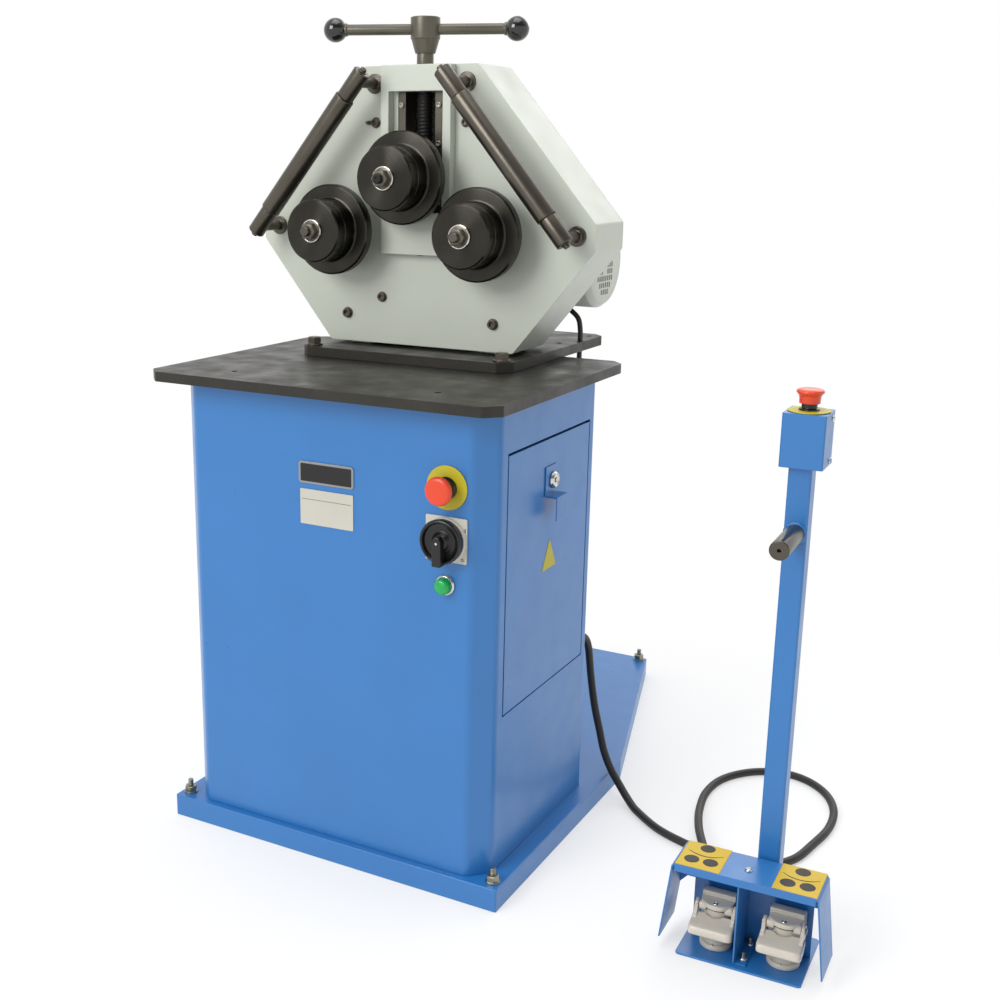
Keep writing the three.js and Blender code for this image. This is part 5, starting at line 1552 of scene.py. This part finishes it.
@dataclass(frozen=True)
class Rolls:
    """The three rolls with their shafts, rings and nuts, and the pinion."""

    frame: dict
    flange: float = 65.0
    ring: float = 44.4
    front: float = -23.0
    joint: float = -3.0
    step: float = 22.0
    rear: float = 38.0
    shaft: float = 15.0
    stud: float = 7.0
    spacer: float = 30.0
    spacer_rear: float = 65.5
    shaft_rear: float = 124.0

    def build(self) -> None:
        """Makes all three rolls and the pinion between the lower two."""
        places = (("top", 0.0, TOP_ROLL_Z), ("left", -LOW_ROLL_X, LOW_ROLL_Z),
                  ("right", LOW_ROLL_X, LOW_ROLL_Z))
        for name, x, z in places:
            self.roll(name, (x, 0.0, z))
        dressed(self.frame, "drive_pinion", Look.STEEL, "pinion", None)

    def roll(self, name: str, centre: Point3) -> None:
        """One roll with everything that turns with it.

        Args:
            name: Which of the three it is.
            centre: A point on its axis.
        """
        body = f"{name}_roll"
        bore = self.shaft + 0.3
        foot = self.joint + GAP
        roll = looped([
            (foot, bore), (foot, self.ring - 1.2), (self.joint + 1.4, self.ring), (self.step - 3, self.ring),
            (self.step - 0.8, self.ring + 1.0), (self.step, self.ring + 3.2), (self.step, self.flange - 2.2),
            (self.step + 2.2, self.flange), (self.rear - 1.5, self.flange), (self.rear, self.flange - 1.5),
            (self.rear, self.spacer), (self.spacer_rear, self.spacer), (self.spacer_rear, bore)], 0.5)
        ring = looped([
            (self.front, bore), (self.front, self.ring - 2.0), (self.front + 2.0, self.ring),
            (self.joint - 1.0, self.ring), (self.joint, self.ring - 1.0), (self.joint, bore)], 0.4)
        for kind, node, profile in (("forming_roll", "roll", roll), ("front_ring", "ring", ring)):
            piece(f"{name}_{kind}", lathe(profile, "y", centre, 96), Look.ROLL, body=body,
                  replaces=[f"{name}_{node}"], turned=(centre, "y"))
        self.nut(name, centre, body)
        if name == "top":
            spindle = disc("y", self.shaft, self.front + 1, self.shaft_rear, centre, 0.8)
            piece("top_spindle", spindle, Look.STEEL, body=body, replaces=["top_shaft"])
        else:
            dressed(self.frame, f"{name}_shaft", Look.OILED, body, None)

    def nut(self, name: str, centre: Point3, body: str) -> None:
        """The washer, the nut and the stud's end.

        Args:
            name: Which roll they hold.
            centre: A point on its axis.
            body: The body that carries them.
        """
        face = self.front - GAP
        stud = self.stud
        washer = off(face, -1, (0, stud + 0.3), (0, 16.6), (2.2, 16.6), (2.9, 15.2), (2.9, stud + 0.3))
        piece(f"{name}_washer", lathe(looped(washer), "y", centre, 56), Look.OILED, body=body,
              replaces=[f"{name}_nut"])
        rim = off(face, -1, (0.4, 16.3), (0.4, 16.75), (2.3, 16.75), (3.2, 15.9), (3.2, 14.6), (2.6, 14.6))
        piece(f"{name}_washer_rim", lathe(looped(rim), "y", centre, 56), Look.CHROME, body=body)
        nut = joined([hexagon("y", 22.0, face - 2.8, face - 13.0, centre),
                      disc("y", 9.6, face - 11.0, face - 13.4, centre, 0.6, 32)])
        piece(f"{name}_hex_nut", nut, Look.HANDLE, body=body, edge=Edge(0.3, 1))
        thread = threaded(stud + 0.05, 0.6, 1.75, face - 12, face - 17.5, "y", centre, 28)
        end = off(face, -1, (16, 0.0), (16, stud), (17.6, stud), (18.8, stud - 1.3), (18.8, 2.4), (16.6, 2.0),
                  (16.4, 0.0))
        piece(f"{name}_stud_end", joined([thread, lathe(end, "y", centre, 32)]), Look.DARK_OXIDE_AND_SHADE, body=body)


@dataclass(frozen=True)
class GuideRails:
    """A slanted rail at each shoulder, along its own axis from the sleeve's top, with a sleeve on it."""

    top_x: float = 92.4
    top_z: float = 1074.5
    angle: float = 49.9
    y: float = 25.0
    sleeve: float = 208.6
    pin: float = 7.0
    pad: float = 13.8
    pad_depth: float = 3.0
    end: float = 12.5
    core: float = 7.0
    sleeve_r: float = 14.5
    before: float = 45.0
    after: float = 43.0
    pin_before: float = 27.0
    pin_after: float = 33.0
    seat: float = 78.7

    def leg(self, distance: float) -> Form:
        """A slim neck from the rail to a round pad on the casing.

        Args:
            distance: How far down the rail it stands, from the sleeve's top.

        Returns:
            The neck with its pad.
        """
        angle = math.radians(self.angle)
        centre = (self.top_x + distance * math.cos(angle), 0, self.top_z - distance * math.sin(angle))
        pad = self.seat - self.pad_depth
        profile = [(self.y, 0), (self.y, self.pin), (pad - 1.5, self.pin), (pad, self.pin + 1.5),
                   (pad, self.pad - 0.8), (pad + 0.8, self.pad), (self.seat, self.pad), (self.seat, 0)]
        return lathe(eased(profile, 0.4), "y", centre, 56)

    def build(self) -> None:
        """Makes the right rail, its end screws and its sleeve, and mirrors them for the left."""
        middle = (0, 0, 0)
        end = self.sleeve + self.after
        rail = [(-self.before, 0), (-self.before, self.end - 1.2), (-self.before + 1.2, self.end),
                (-0.7, self.end), (-0.7, self.core), (self.sleeve + 0.7, self.core),
                (self.sleeve + 0.7, self.end), (end - 1.2, self.end), (end, self.end - 1.2), (end, 0)]
        screws = []
        for seat, out in ((-self.before, -1), (end, 1)):
            screws.append(disc("x", 6.4, seat - out * 0.2, seat + out * 1.2, middle, 0.3, 32))
            screws.append(socket_screw("x", middle, seat + out, out, 4.6, 4.4))
        bore = self.core + 0.4
        sleeve = looped([(0, bore), (0, self.sleeve_r - 1), (1, self.sleeve_r),
                         (self.sleeve - 1, self.sleeve_r), (self.sleeve, self.sleeve_r - 1),
                         (self.sleeve, bore)], 0.4)
        slant = (Matrix.Translation((self.top_x, self.y, self.top_z))
                 @ Matrix.Rotation(math.radians(self.angle), 4, "Y"))
        rail_form = joined([lathe(eased(rail, 0.3), "x", middle, 56).moved(slant), self.leg(-self.pin_before),
                            self.leg(self.sleeve + self.pin_after)])
        screw_form = joined(screws).moved(slant)
        sleeve_form = lathe(sleeve, "x", middle, 64).moved(slant)
        for name in ("left", "right"):
            forms = (rail_form, screw_form, sleeve_form)
            rail_side, screw_side, sleeve_side = [f.mirrored() for f in forms] if name == "left" else forms
            piece(f"rail_{name}", rail_side, Look.OILED, replaces=[f"guide_rail_{name}"])
            piece(f"rail_{name}_screws", screw_side, Look.OILED)
            piece(f"sleeve_{name}_tube", sleeve_side, Look.OILED, body=f"sleeve_{name}",
                  replaces=[f"guide_sleeve_{name}"])


@dataclass(frozen=True)
class Drive:
    """The worm gearbox, the motor along X behind the head, its fan cowl and its cable."""

    frame: dict
    y: float = 281.0
    z: float = 841.0
    housing: float = 61.0
    cowl_r: float = 70.0
    flange_from: float = 78.0
    flange_to: float = 90.0
    cowl_from: float = 162.0
    wall: float = 2.5
    end: float = 211.0
    fins: int = 28
    blades: int = 9
    slot_rows: tuple[int, ...] = (8, 8, 8, 6, 4)
    slot_pitch: Point2 = (7.7, 10.2)
    slot_half: Point2 = (2.5, 3.9)
    hub_gap: float = 6.0

    def build(self) -> None:
        """Makes the gearbox, the motor, the cowl and the cable."""
        self.gearbox()
        self.motor()
        self.cowl()
        self.cable()

    def gearbox(self) -> None:
        """The cast gearbox with its covers and screws."""
        dressed(self.frame, "worm_gearbox", Look.GREY, edge=Edge(1.6, 3, 42))
        piece("gearbox_cover", disc("y", 40.0, 335.8, 344.6, (0, 0, LOW_ROLL_Z), 1.2, 64), Look.GREY)
        screws = [socket_screw("y", (u, 0, v), 344.4, 1, 4.2, 4.0)
                  for u, v in circle(0, LOW_ROLL_Z, 33, 6, 0.5)]
        piece("gearbox_cover_screws", joined(screws), Look.OILED)
        piece("gearbox_side_cover", disc("x", 32.0, -72.6, -61.0, (0, self.y, self.z), 1.2, 64), Look.GREY)
        screws = [socket_screw("x", (0, u, v), -72.4, -1, 3.6, 3.4)
                  for u, v in circle(self.y, self.z, 25, 4, 0.3)]
        piece("gearbox_side_screws", joined(screws), Look.OILED)
        plugs = [hex_bolt("y", (40, 0, 785), 335.6, 1, 13.0, 9.0),
                 hex_bolt("z", (0, 305, 0), 951.6, 1, 13.0, 9.0)]
        piece("gearbox_plugs", joined(plugs), Look.STEEL)

    def motor(self) -> None:
        """The motor frame with cooling fins, the flange and the terminal box."""
        y, z = self.y, self.z
        centre = (0.0, y, z)
        start, end = self.flange_to + 4, self.cowl_from - 4
        shield = self.cowl_r - self.wall - GAP
        core = self.housing - 5.0
        profile = [(self.flange_from, 0), (self.flange_from, 70), (self.flange_to, 70),
                   (self.flange_to, core - 2), (start, core), (end, core), (end, shield),
                   (self.cowl_from + 6, shield), (self.cowl_from + 6, 0)]
        fin = box(start, end + 1, y - 1.3, y + 1.3, z + core - 3, z + self.housing + 4.6)
        parts = [lathe(eased(profile, 1.0), "x", centre, 72), *spun(fin, centre, self.fins)]
        piece("motor_frame", joined(parts), Look.GREY, replaces=["motor"])
        terminal = prism(octagon(start + 2, end - 2, y + 50, y + 96, 4), "z", z - 34, z + 34)
        piece("terminal_box", terminal, Look.GREY, edge=Edge(1.5, 3))
        lid = prism(octagon(start + 1, end - 1, y + 92, y + 95.9, 4), "z", z - 35, z + 35)
        piece("terminal_lid", lid, Look.GREY, edge=Edge(1.0, 2))
        bolts = [socket_screw("x", (0, u, v), self.flange_to - 0.5, 1, 4.4, 5.0)
                 for u, v in circle(y, z, 60, 4, math.pi / 4)]
        piece("motor_flange_bolts", joined(bolts), Look.OILED)

    def cowl(self) -> None:
        """The pressed fan cowl with a grid of slots in its end, and the fan behind it."""
        centre = (0.0, self.y, self.z)
        outer = off(self.end, -1, (11, self.cowl_r), (9, self.cowl_r - 0.6), (1.2, self.cowl_r - 6.5),
                    (0, self.cowl_r - 8.5), (0, 0), (self.wall, 0), (self.wall, self.cowl_r - 10.0),
                    (12, self.cowl_r - self.wall))
        rims = [(self.cowl_from, self.cowl_r), (self.cowl_from, self.cowl_r - self.wall)]
        shell = lathe(looped([rims[0], *outer, rims[1]]), "x", centre, 96)
        slots = [box(self.end - 8, self.end + 4, y - self.slot_half[0], y + self.slot_half[0],
                     z - self.slot_half[1], z + self.slot_half[1]) for y, z in self.slot_places()]
        piece("fan_cowl", carved(shell, joined(slots)), Look.GREY, replaces=["motor_cowl"])
        hub = disc("x", 14.0, self.cowl_from + 10, self.end - 12, centre, 1.0, 40)
        blade = box(self.cowl_from + 12, self.end - 14, self.y + 10, self.y + 60, self.z - 1.2, self.z + 1.2)
        cover = disc("x", 60.0, self.end - 17, self.end - 14, centre, 0.8)
        piece("fan", joined([hub, cover, *spun(blade, centre, self.blades)]), Look.BLACK)

    def slot_places(self) -> list[Point2]:
        """The middles of the cowl's slots: rows above and below the axis, the hub's field left bare.

        Returns:
            Pairs of y and z.
        """
        places = []
        for row, across in enumerate(self.slot_rows):
            for up in (-1, 1):
                z = self.z + up * (row + 0.5) * self.slot_pitch[1]
                for column in range(across):
                    away = (column - (across - 1) / 2) * self.slot_pitch[0]
                    if row > 1 or abs(away) > self.hub_gap:
                        places.append((self.y + away, z))
        return places

    def cable(self) -> None:
        """The motor's cable down through the plate into the cabinet, with both glands."""
        x, _, z = CABLE_PLACE
        box_foot = self.z - 34
        route = [
            (128, 352, box_foot - GAP), (128, 351, 792), (130, 338, 773), (141, 308, 763.5), (154, 293, 761),
            (166, 290, 751), (x, 290, 734), (x, 290, 700), (x, 287, 668), (x, 268, 640), (x, 232, 619),
            (x, 200, z), (x, 152, z),
        ]
        path, _ = even_steps(through(route), 2.5)
        top = (128.0, 352.0, 0.0)
        rear_dome = off(170, 1, (0, 0), (0, 7.8), (6, 7.2), (11, 4.9), (11, 0))
        box_dome = off(box_foot, -1, (5.4, 0), (5.4, 7.6), (11, 7.0), (16, 4.9), (16, 0))
        parts = [
            tube(path, 4.0, 20),
            disc("y", 6.6, 158, 172, CABLE_PLACE, 0.4, 32),
            hexagon("y", 18.0, 164.3, 170.0, CABLE_PLACE),
            lathe(eased(rear_dome, 0.6), "y", CABLE_PLACE, 32),
            hexagon("z", 17.0, box_foot - 0.1, box_foot - 5.5, top),
            lathe(eased(box_dome, 0.6), "z", top, 32),
        ]
        piece("drive_cable", joined(parts), Look.RUBBER, replaces=["motor_cable"])


# The controls on the cabinet's front


@dataclass(frozen=True)
class FrontControls:
    """The stop, the main switch, the lamp and the two bare plates, all standing on one face."""

    seat: float = FRONT_SEAT
    stop_bore: float = 9.7
    plate_half: float = 30.3
    ripples: int = 12
    ripple_depth: float = 0.035
    lens_sides: int = 96

    def build(self) -> None:
        """Makes the controls and the plates."""
        self.stop()
        self.switch()
        self.lamp()
        self.plates()

    def stop(self) -> None:
        """The emergency stop: a yellow ring, a black collar and a red mushroom."""
        seat, bore = self.seat, self.stop_bore
        x, z = STOP_PLACE
        centre = (x, 0.0, z)
        ring = looped(off(seat, -1, (0, 12.0), (0, 29.6), (1.8, 29.6), (1.8, 12.0)), 0.3)
        piece("stop_ring", lathe(ring, "y", centre, 72), Look.YELLOW, replaces=["estop_base"])
        collar = looped(off(seat, -1, (-0.1, bore), (-0.1, 15.0), (5, 15.0), (7, 13.4), (14.4, 12.6),
                            (14.4, bore)), 0.5)
        nut = looped(off(seat, 1, (2.8, 10.0), (2.8, 14.5), (6.2, 14.5), (6.2, 10.0)), 0.3)
        piece("stop_collar", joined([lathe(collar, "y", centre), lathe(nut, "y", centre)]), Look.BLACK)
        block = box(x - 14, x + 14, seat + 6, seat + 46, z - 20, z + 20)
        piece("stop_contacts", block, Look.BLACK, edge=Edge(1.2, 2))
        head = off(seat, -1, (29.4, 0.0), (29.3, 10.0), (28.9, 15.0), (27.6, 17.8), (25.2, 19.2),
                   (22.4, 19.3), (20.6, 18.2), (20, 15.0), (19.8, 9.0), (1, 9.0), (1, 0.0))
        piece("stop_mushroom", lathe(eased(head, 1.6, 4), "y", centre, 72), Look.RED, body="stop_button",
              replaces=["estop_button"])

    def switch(self) -> None:
        """The main switch: a light square plate and a black rotary knob with a grip."""
        seat, half = self.seat, self.plate_half
        x, z = SWITCH_PLACE
        centre = (x, 0.0, z)
        square = rectangle(x - half, x + half, z - half, z + half, 2.0)
        plate = prism(square, "y", seat - 2.4, seat, [circle(x, z, 6.0)])
        notch = box(x - 3, x + 3, seat - 4, seat - 1.4, z + half - 3.4, z + half + 2)
        piece("switch_plate_face", carved(plate, notch), Look.SWITCH, replaces=["switch_plate"],
              edge=Edge(0.5, 2))
        body = box(x - 22, x + 22, seat + 6, seat + 58, z - 22, z + 22)
        barrel = looped(off(seat, 1, (0.2, 6.0), (0.2, 12.0), (6.5, 12.0), (6.5, 6.0)), 0.1)
        piece("switch_body", joined([body, lathe(barrel, "y", centre, 40)]), Look.BLACK, edge=Edge(1.0, 2))
        bar = rectangle(x + 27.2, x + 28.4, z + 12, z + 18)
        rings = [circle(x + 24.6, z - 24.6, radius, 24) for radius in (2.0, 1.3)]
        marks = [prism(bar, "y", seat - 2.65, seat - 2.3),
                 prism(rings[0], "y", seat - 2.65, seat - 2.3, rings[1:])]
        piece("switch_marks", joined(marks), Look.MARK)
        boss = looped(off(seat, -1, (2, 24.0), (2, 30.6), (7.6, 30.2), (8.6, 29.2), (8.6, 24.0)))
        piece("switch_boss", lathe(boss, "y", centre, 80), Look.SWITCH)
        knob = off(seat, -1, (2.7, 0.0), (2.7, 22.0), (9, 22.0), (9.4, 28.4), (11, 29.8), (18, 30.2),
                   (20.4, 29.4), (21.2, 27.6), (20.2, 26.0), (16.2, 24.0), (15, 20.0), (15.6, 0.0))
        crown = off(seat, -1, (14, 0.0), (14, 15.0), (17.5, 11.5), (21, 9.0), (21.4, 0.0))
        dial = [lathe(eased(knob, 0.6), "y", centre, 80), lathe(eased(crown, 1.2, 4), "y", centre, 48),
                rod("y", 5, seat - 4.7, seat + 12, centre, 32)]
        piece("switch_dial", joined(dial), Look.BLACK, body="main_switch", replaces=["switch_knob"])
        grip = eased([(x - 3.4, z + 9), (x - 6.2, z + 3), (x - 6.4, z - 31), (x + 6.4, z - 31),
                      (x + 6.2, z + 3), (x + 3.4, z + 9)], 2.0, 4, True)
        piece("switch_grip", prism(grip, "y", seat - 30.0, seat - 15.5), Look.BLACK, body="main_switch",
              edge=Edge(1.2, 3))
        dot = disc("y", 1.7, seat - 29.9, seat - 30.25, (x, 0, z + 0.5), 0.1, 24)
        piece("switch_dot", dot, Look.SWITCH, body="main_switch")

    def lamp(self) -> None:
        """The pilot lamp: a chrome bezel round a green lens, its radius rippled by a clipped cosine."""
        seat = self.seat
        centre = (LAMP_PLACE[0], 0.0, LAMP_PLACE[1])
        bezel = off(seat, -1, (0, 0.0), (0, 14.4), (2.2, 14.4), (4.4, 12.8), (4.4, 11.4), (3, 11.0), (3, 0.0))
        piece("lamp_bezel", lathe(eased(bezel, 0.5), "y", centre), Look.CHROME, replaces=["pilot_lamp"])
        angle = np.linspace(0, FULL_TURN, self.lens_sides, endpoint=False)
        ripple = 1.0 - self.ripple_depth * np.maximum(0.0, np.cos(self.ripples * angle))
        profile = off(seat, -1, (2.8, 11.4), (10, 11.3), (12.6, 10.2), (14.2, 7.4), (15.2, 3.8), (15.4, 0.4))
        rows = [spread(radius * ripple * np.cos(angle), radius * ripple * np.sin(angle),
                       np.full(self.lens_sides, along), "y") + np.array(centre) for along, radius in profile]
        piece("lamp_lens", lofted(rows), Look.GREEN, smooth=60)
        piece("lamp_body", disc("y", 10.8, seat + 0.2, seat + 30, centre, 1.0, 32), Look.BLACK)

    def plates(self) -> None:
        """Two bare plates where the photograph has printed ones."""
        seat = self.seat
        badge = prism(eased(octagon(-43.0, 46.0, 560.5, 591.5, 3.0), 1.5, closed=True), "y", seat - 1.2, seat)
        piece("badge_blank", badge, Look.BADGE, replaces=["badge_plate"], edge=Edge(0.3, 2))
        field = prism(rectangle(-39.5, 42.5, 563.6, 588.4, 1.5), "y", seat - 1.42, seat - 1.2 + SINK)
        piece("badge_field", field, Look.BLACK)
        plate = prism(rectangle(-41.0, 45.0, 502.6, 552.6, 1.5), "y", seat - 0.9, seat)
        piece("data_blank", plate, Look.LABEL, replaces=["data_plate"], edge=Edge(0.25, 2))
        piece("data_rule", box(-38, 42, seat - 1.02, seat - 0.9 + SINK, 538.2, 538.7), Look.MARK)


# The pedal console


@dataclass(frozen=True)
class Console:
    """The stand, the hood with its labels, the post with its box, the handle and the stop."""

    frame: dict
    top: float = 125.0
    post_x: float = 14.0
    post_front: float = 70.3
    grip_z: float = 559.0
    box_x: float = 16.5
    box_y: float = 82.75
    box_side: float = 42.1
    box_top: float = 706.8
    label_bars: int = 25

    def build(self) -> None:
        """Makes the sheet pieces, the labels, the handle and the stop."""
        for node, width in (("console_base", 0.5), ("console_hood", 0.6), ("console_divider", 0.3),
                            ("console_post", 1.2), ("console_box", 0.8)):
            dressed(self.frame, node, Look.BLUE, edge=Edge(width, 2))
        self.screws()
        for name, x0, x1 in (("left", -88.4, -31.5), ("right", 34.0, 89.4)):
            self.label(name, x0, x1)
        self.handle()
        self.stop()

    def screws(self) -> None:
        """Small screws on the hood, the divider's foot and the box."""
        foot = [(2.5, 18, 0), (2.5, 55, 0)]
        forms = [pan_screw("z", (-0.7, 28, 0), self.top - 0.1, 1, 5.0),
                 *[pan_screw("z", centre, 5.2, 1, 5.4) for centre in foot]]
        piece("console_screws", joined(forms), Look.CHROME, CONSOLE)
        studs = [threaded(2.6, 0.4, 1.0, 5.0, 15.5, "z", centre, 20) for centre in foot]
        piece("divider_studs", joined(studs), Look.STEEL, CONSOLE)
        sides = [pan_screw("x", (0, 96, z), self.box_side, 1, 4.3) for z in (646.5, 698.0)]
        piece("box_screws", joined(sides), Look.CHROME, CONSOLE)

    def label(self, name: str, x0: float, x1: float) -> None:
        """A yellow plate with three dark discs and a bar bent as a parabola.

        Args:
            name: Which side it is on.
            x0: Its left edge.
            x1: Its right edge.
        """
        plate = prism(rectangle(x0, x1, 1.2, 66.6, 0.8), "z", self.top + 0.02, self.top + 0.3)
        piece(f"hood_label_{name}", plate, Look.LABEL_YELLOW, CONSOLE)
        middle = (x0 + x1) / 2
        low, high = self.top + 0.25, self.top + 0.42
        spots = ((-0.6, 55.8), (-12.4, 21.8), (11.8, 22.6))
        discs = [prism(circle(middle + u, v, 9.6, 40), "z", low, high) for u, v in spots]
        reach = 23.0
        bend = np.linspace(-reach, reach, self.label_bars)
        rise = 35.0 + (bend / reach) ** 2 * 9.0
        half = 0.95 * (1.0 - 0.6 * np.abs(bend / reach) ** 4)
        upper = np.column_stack([middle + bend, rise + half])
        lower = np.column_stack([middle + bend, rise - half])
        bar = prism(np.vstack([upper, lower[::-1]]).tolist(), "z", low, high)
        piece(f"hood_sign_{name}", joined([*discs, bar]), Look.MARK, CONSOLE)

    def handle(self) -> None:
        """A plain turned rod with a centre hole, welded to the post."""
        end = self.post_front - GAP
        centre = (self.post_x, 0, self.grip_z)
        grip = [(-4, 0.0), (-6, 2.2), (-12, 2.4), (-12, 11.0), (-11, 12.0), (end, 12.0), (end, 0.0)]
        piece("grip_rod", lathe(eased(grip, 0.4), "y", centre, 56), Look.OILED, CONSOLE,
              replaces=["console_handle"])
        weld = off(end, -1, (2.6, 11.9), (2.0, 12.8), (0.6, 14.2), (0, 14.6), (0, 11.9))
        piece("grip_weld", lathe(looped(weld), "y", centre, 56), Look.BLUE, CONSOLE)

    def stop(self) -> None:
        """The console's stop: a yellow disc, a black waist and a flared red head."""
        seat = self.box_top + GAP
        x, y = self.box_x, self.box_y
        centre = (x, y, 0.0)
        ring = looped(off(seat, 1, (0, 7.0), (0, 25.0), (1.2, 25.0), (1.2, 7.0)), 0.3)
        piece("console_stop_ring", lathe(ring, "z", centre), Look.YELLOW, CONSOLE,
              replaces=["console_estop_base"])
        collar = looped(off(seat, 1, (1, 6.6), (1, 12.2), (2.9, 12.2), (3.7, 9.2), (12, 9.2), (12, 6.6)), 0.4)
        block = box(x - 11, x + 11, y - 15, y + 15, seat - 34, seat - 8)
        piece("console_stop_collar", joined([lathe(collar, "z", centre, 48), block]), Look.BLACK, CONSOLE)
        head = off(seat, 1, (1, 0.0), (1, 6.0), (17.5, 6.0), (17.5, 9.7), (9.2, 9.8), (9.2, 12.3),
                   (14, 12.4), (18, 12.9), (20.6, 14.6), (22, 16.2), (23.6, 16.4), (25.2, 15.4), (26.4, 12.0),
                   (26.9, 6.0), (27, 0.0))
        piece("console_stop_head", lathe(eased(head, 0.9), "z", centre), Look.RED, CONSOLE,
              body="console_stop", replaces=["console_estop_button"])


@dataclass(frozen=True)
class FootSwitches:
    """Both cast foot switches on the console's base, each with a treadle hung on its sides."""

    column_y: float = 40.0
    column: float = 17.0
    foot: float = 21.0
    cap: float = 21.4
    cap_bottom: float = 61.0
    cap_top: float = 68.0
    block_rear: float = 61.0
    block_top: float = 74.0
    hinge_y: float = 30.0
    hinge_z: float = 60.0
    pin: float = 4.0
    ear: float = 7.6
    arm: float = 4.5
    half: float = 28.0
    base: float = 3.3
    pad_rear: float = 24.5
    pad_foot: float = 33.0

    def build(self) -> None:
        """Makes the left and the right switch."""
        for side, x in (("left", -38.5), ("right", 48.5)):
            self.casting(side, x)
            self.treadle(side, x)

    def casting(self, side: str, x: float) -> None:
        """The fixed part of a switch.

        Args:
            side: Which switch it is.
            x: Its place across the base.
        """
        column_y, cap, low = self.column_y, self.cap, self.base + 6
        upright = (x, column_y, 0)
        hinge = (0, self.hinge_y, self.hinge_z)
        bore = rod("x", self.pin + 0.4, x - 40, x + 40, hinge, 32)
        foot = off(self.base, 1, (0, 0), (0, self.foot), (5, self.foot), (7, self.foot - 2.4), (7, 0))
        rear = eased([(column_y, low), (self.block_rear, low), (self.block_rear, self.block_top - 6),
                      (self.block_rear - 6, self.block_top), (column_y + 2, self.block_top),
                      (column_y + 2, self.cap_top), (column_y, self.cap_top)], 1.6, closed=True)
        parts = [carved(rod("z", self.column, low, self.cap_bottom + 1, upright, 56), bore),
                 prism(rear, "x", x - cap, x + cap),
                 disc("z", cap, self.cap_bottom, self.cap_top, upright, 1.8, 64, 4)]
        for way in (-1, 1):
            near, far = sorted((x + way * 12.0, x + way * cap))
            parts.append(carved(disc("x", 6.4, near, far, hinge, 0.6, 40), bore))
        parts.append(lathe(eased(foot, 0.8), "z", upright, 56))
        piece(f"switch_casting_{side}", joined(parts), Look.CAST, CONSOLE, replaces=[f"pedal_body_{side}"])
        seal = disc("z", cap - 1.4, self.cap_bottom - 1.2, self.cap_bottom + 0.4, upright, 0.3, 56)
        piece(f"switch_seal_{side}", seal, Look.BLACK, CONSOLE)
        screws = [pan_screw("z", (x, column_y - 15, 0), self.cap_top - 0.1, 1, 3.3),
                  pan_screw("z", (x, column_y - 18.2, 0), low + 0.5, 1, 2.0)]
        piece(f"switch_screws_{side}", joined(screws), Look.CHROME, CONSOLE)

    def corner_fall(self, across: float, radius: float, depth: float) -> float:
        """How deep a quarter round has fallen at a place across the pad: depth less its cosine."""
        share = max(0.0, (abs(across) - (self.half - radius)) / radius)
        return depth * (1.0 - math.sqrt(max(0.0, 1.0 - share * share)))

    def pad(self, x: float) -> Form:
        """The rounded pad: one section lofted across, drawn back and down at its sides, and hollow below.

        Args:
            x: The pad's middle across the base.

        Returns:
            The pad.
        """
        corners = [(3.0, 33.2), (-3.4, 33.4), (-4.6, 38.6), (-2.0, 44.6), (12.0, 47.4), (20.0, 50.6),
                   (24.5, 53.4), (24.5, 45.0), (12.0, 37.0)]
        section = np.array(eased(corners, 2.6, 4, True))
        y, z = section.T
        rows = []
        for across in np.sin(np.linspace(-math.pi / 2, math.pi / 2, 25)) * self.half:
            back = self.corner_fall(across, 7.0, 7.0)
            drop = self.corner_fall(across, 3.5, 3.0)
            rows.append(np.column_stack([np.full(len(section), x + across),
                                         y + back * (self.pad_rear - y) / 30.0,
                                         z - drop * (z - self.pad_foot) / 20.0]))
        under = [(0.0, 28.0), (0.0, 39.6), (12.0, 43.6), (20.0, 46.6), (30.0, 50.0), (30.0, 28.0)]
        hollow = prism(under, "x", x - self.half + 3.6, x + self.half - 3.6)
        return carved(lofted(rows), hollow, rod("z", self.column + 3.2, 25, 58, (x, self.column_y, 0), 64))

    def treadle(self, side: str, x: float) -> None:
        """The rounded pad with a turned-down lip, its two arms and its pin.

        Args:
            side: Which switch it is.
            x: Its place across the base.
        """
        body = f"treadle_{side}"
        hinge_y, hinge_z = self.hinge_y, self.hinge_z
        hinge = (0, hinge_y, hinge_z)
        piece(f"treadle_pad_{side}", self.pad(x), Look.CAST, CONSOLE, body, [f"pedal_treadle_{side}"],
              smooth=50)
        inside = self.cap + 0.6
        outline = eased([(14.0, 44.0), (24.0, 46.5), (hinge_y + 5, hinge_z - 6.4),
                         (hinge_y - 7.4, hinge_z + 3.6), (19.0, 52.0), (14.0, 48.6)], 1.5, closed=True)
        arms = []
        for way in (-1, 1):
            near, far = sorted((x + way * inside, x + way * (inside + self.arm)))
            arms += [prism(outline, "x", near, far), disc("x", self.ear, near, far, hinge, 1.6, 48, 4)]
        piece(f"treadle_arms_{side}", joined(arms), Look.CAST, CONSOLE, body)
        reach = inside + self.arm + 1.4
        pin = disc("x", self.pin, x - reach, x + reach, hinge, 0.7, 32)
        piece(f"treadle_pin_{side}", pin, Look.STEEL, CONSOLE, body)


def main() -> None:
    """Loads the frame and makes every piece."""
    logging.basicConfig(level=logging.INFO)
    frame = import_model()
    studio = Studio()
    studio.camera()
    PedalHose().build()
    studio.build()
    BaseTray().build()
    door = Door(frame)
    for assembly in (Cabinet(frame, door), door, Plates(), Head(), LiftScrew(), Rolls(frame), GuideRails(),
                     Drive(frame), FrontControls(), Console(frame), FootSwitches()):
        assembly.build()
    bpy.context.view_layer.update()


if __name__ == "__main__":
    main()
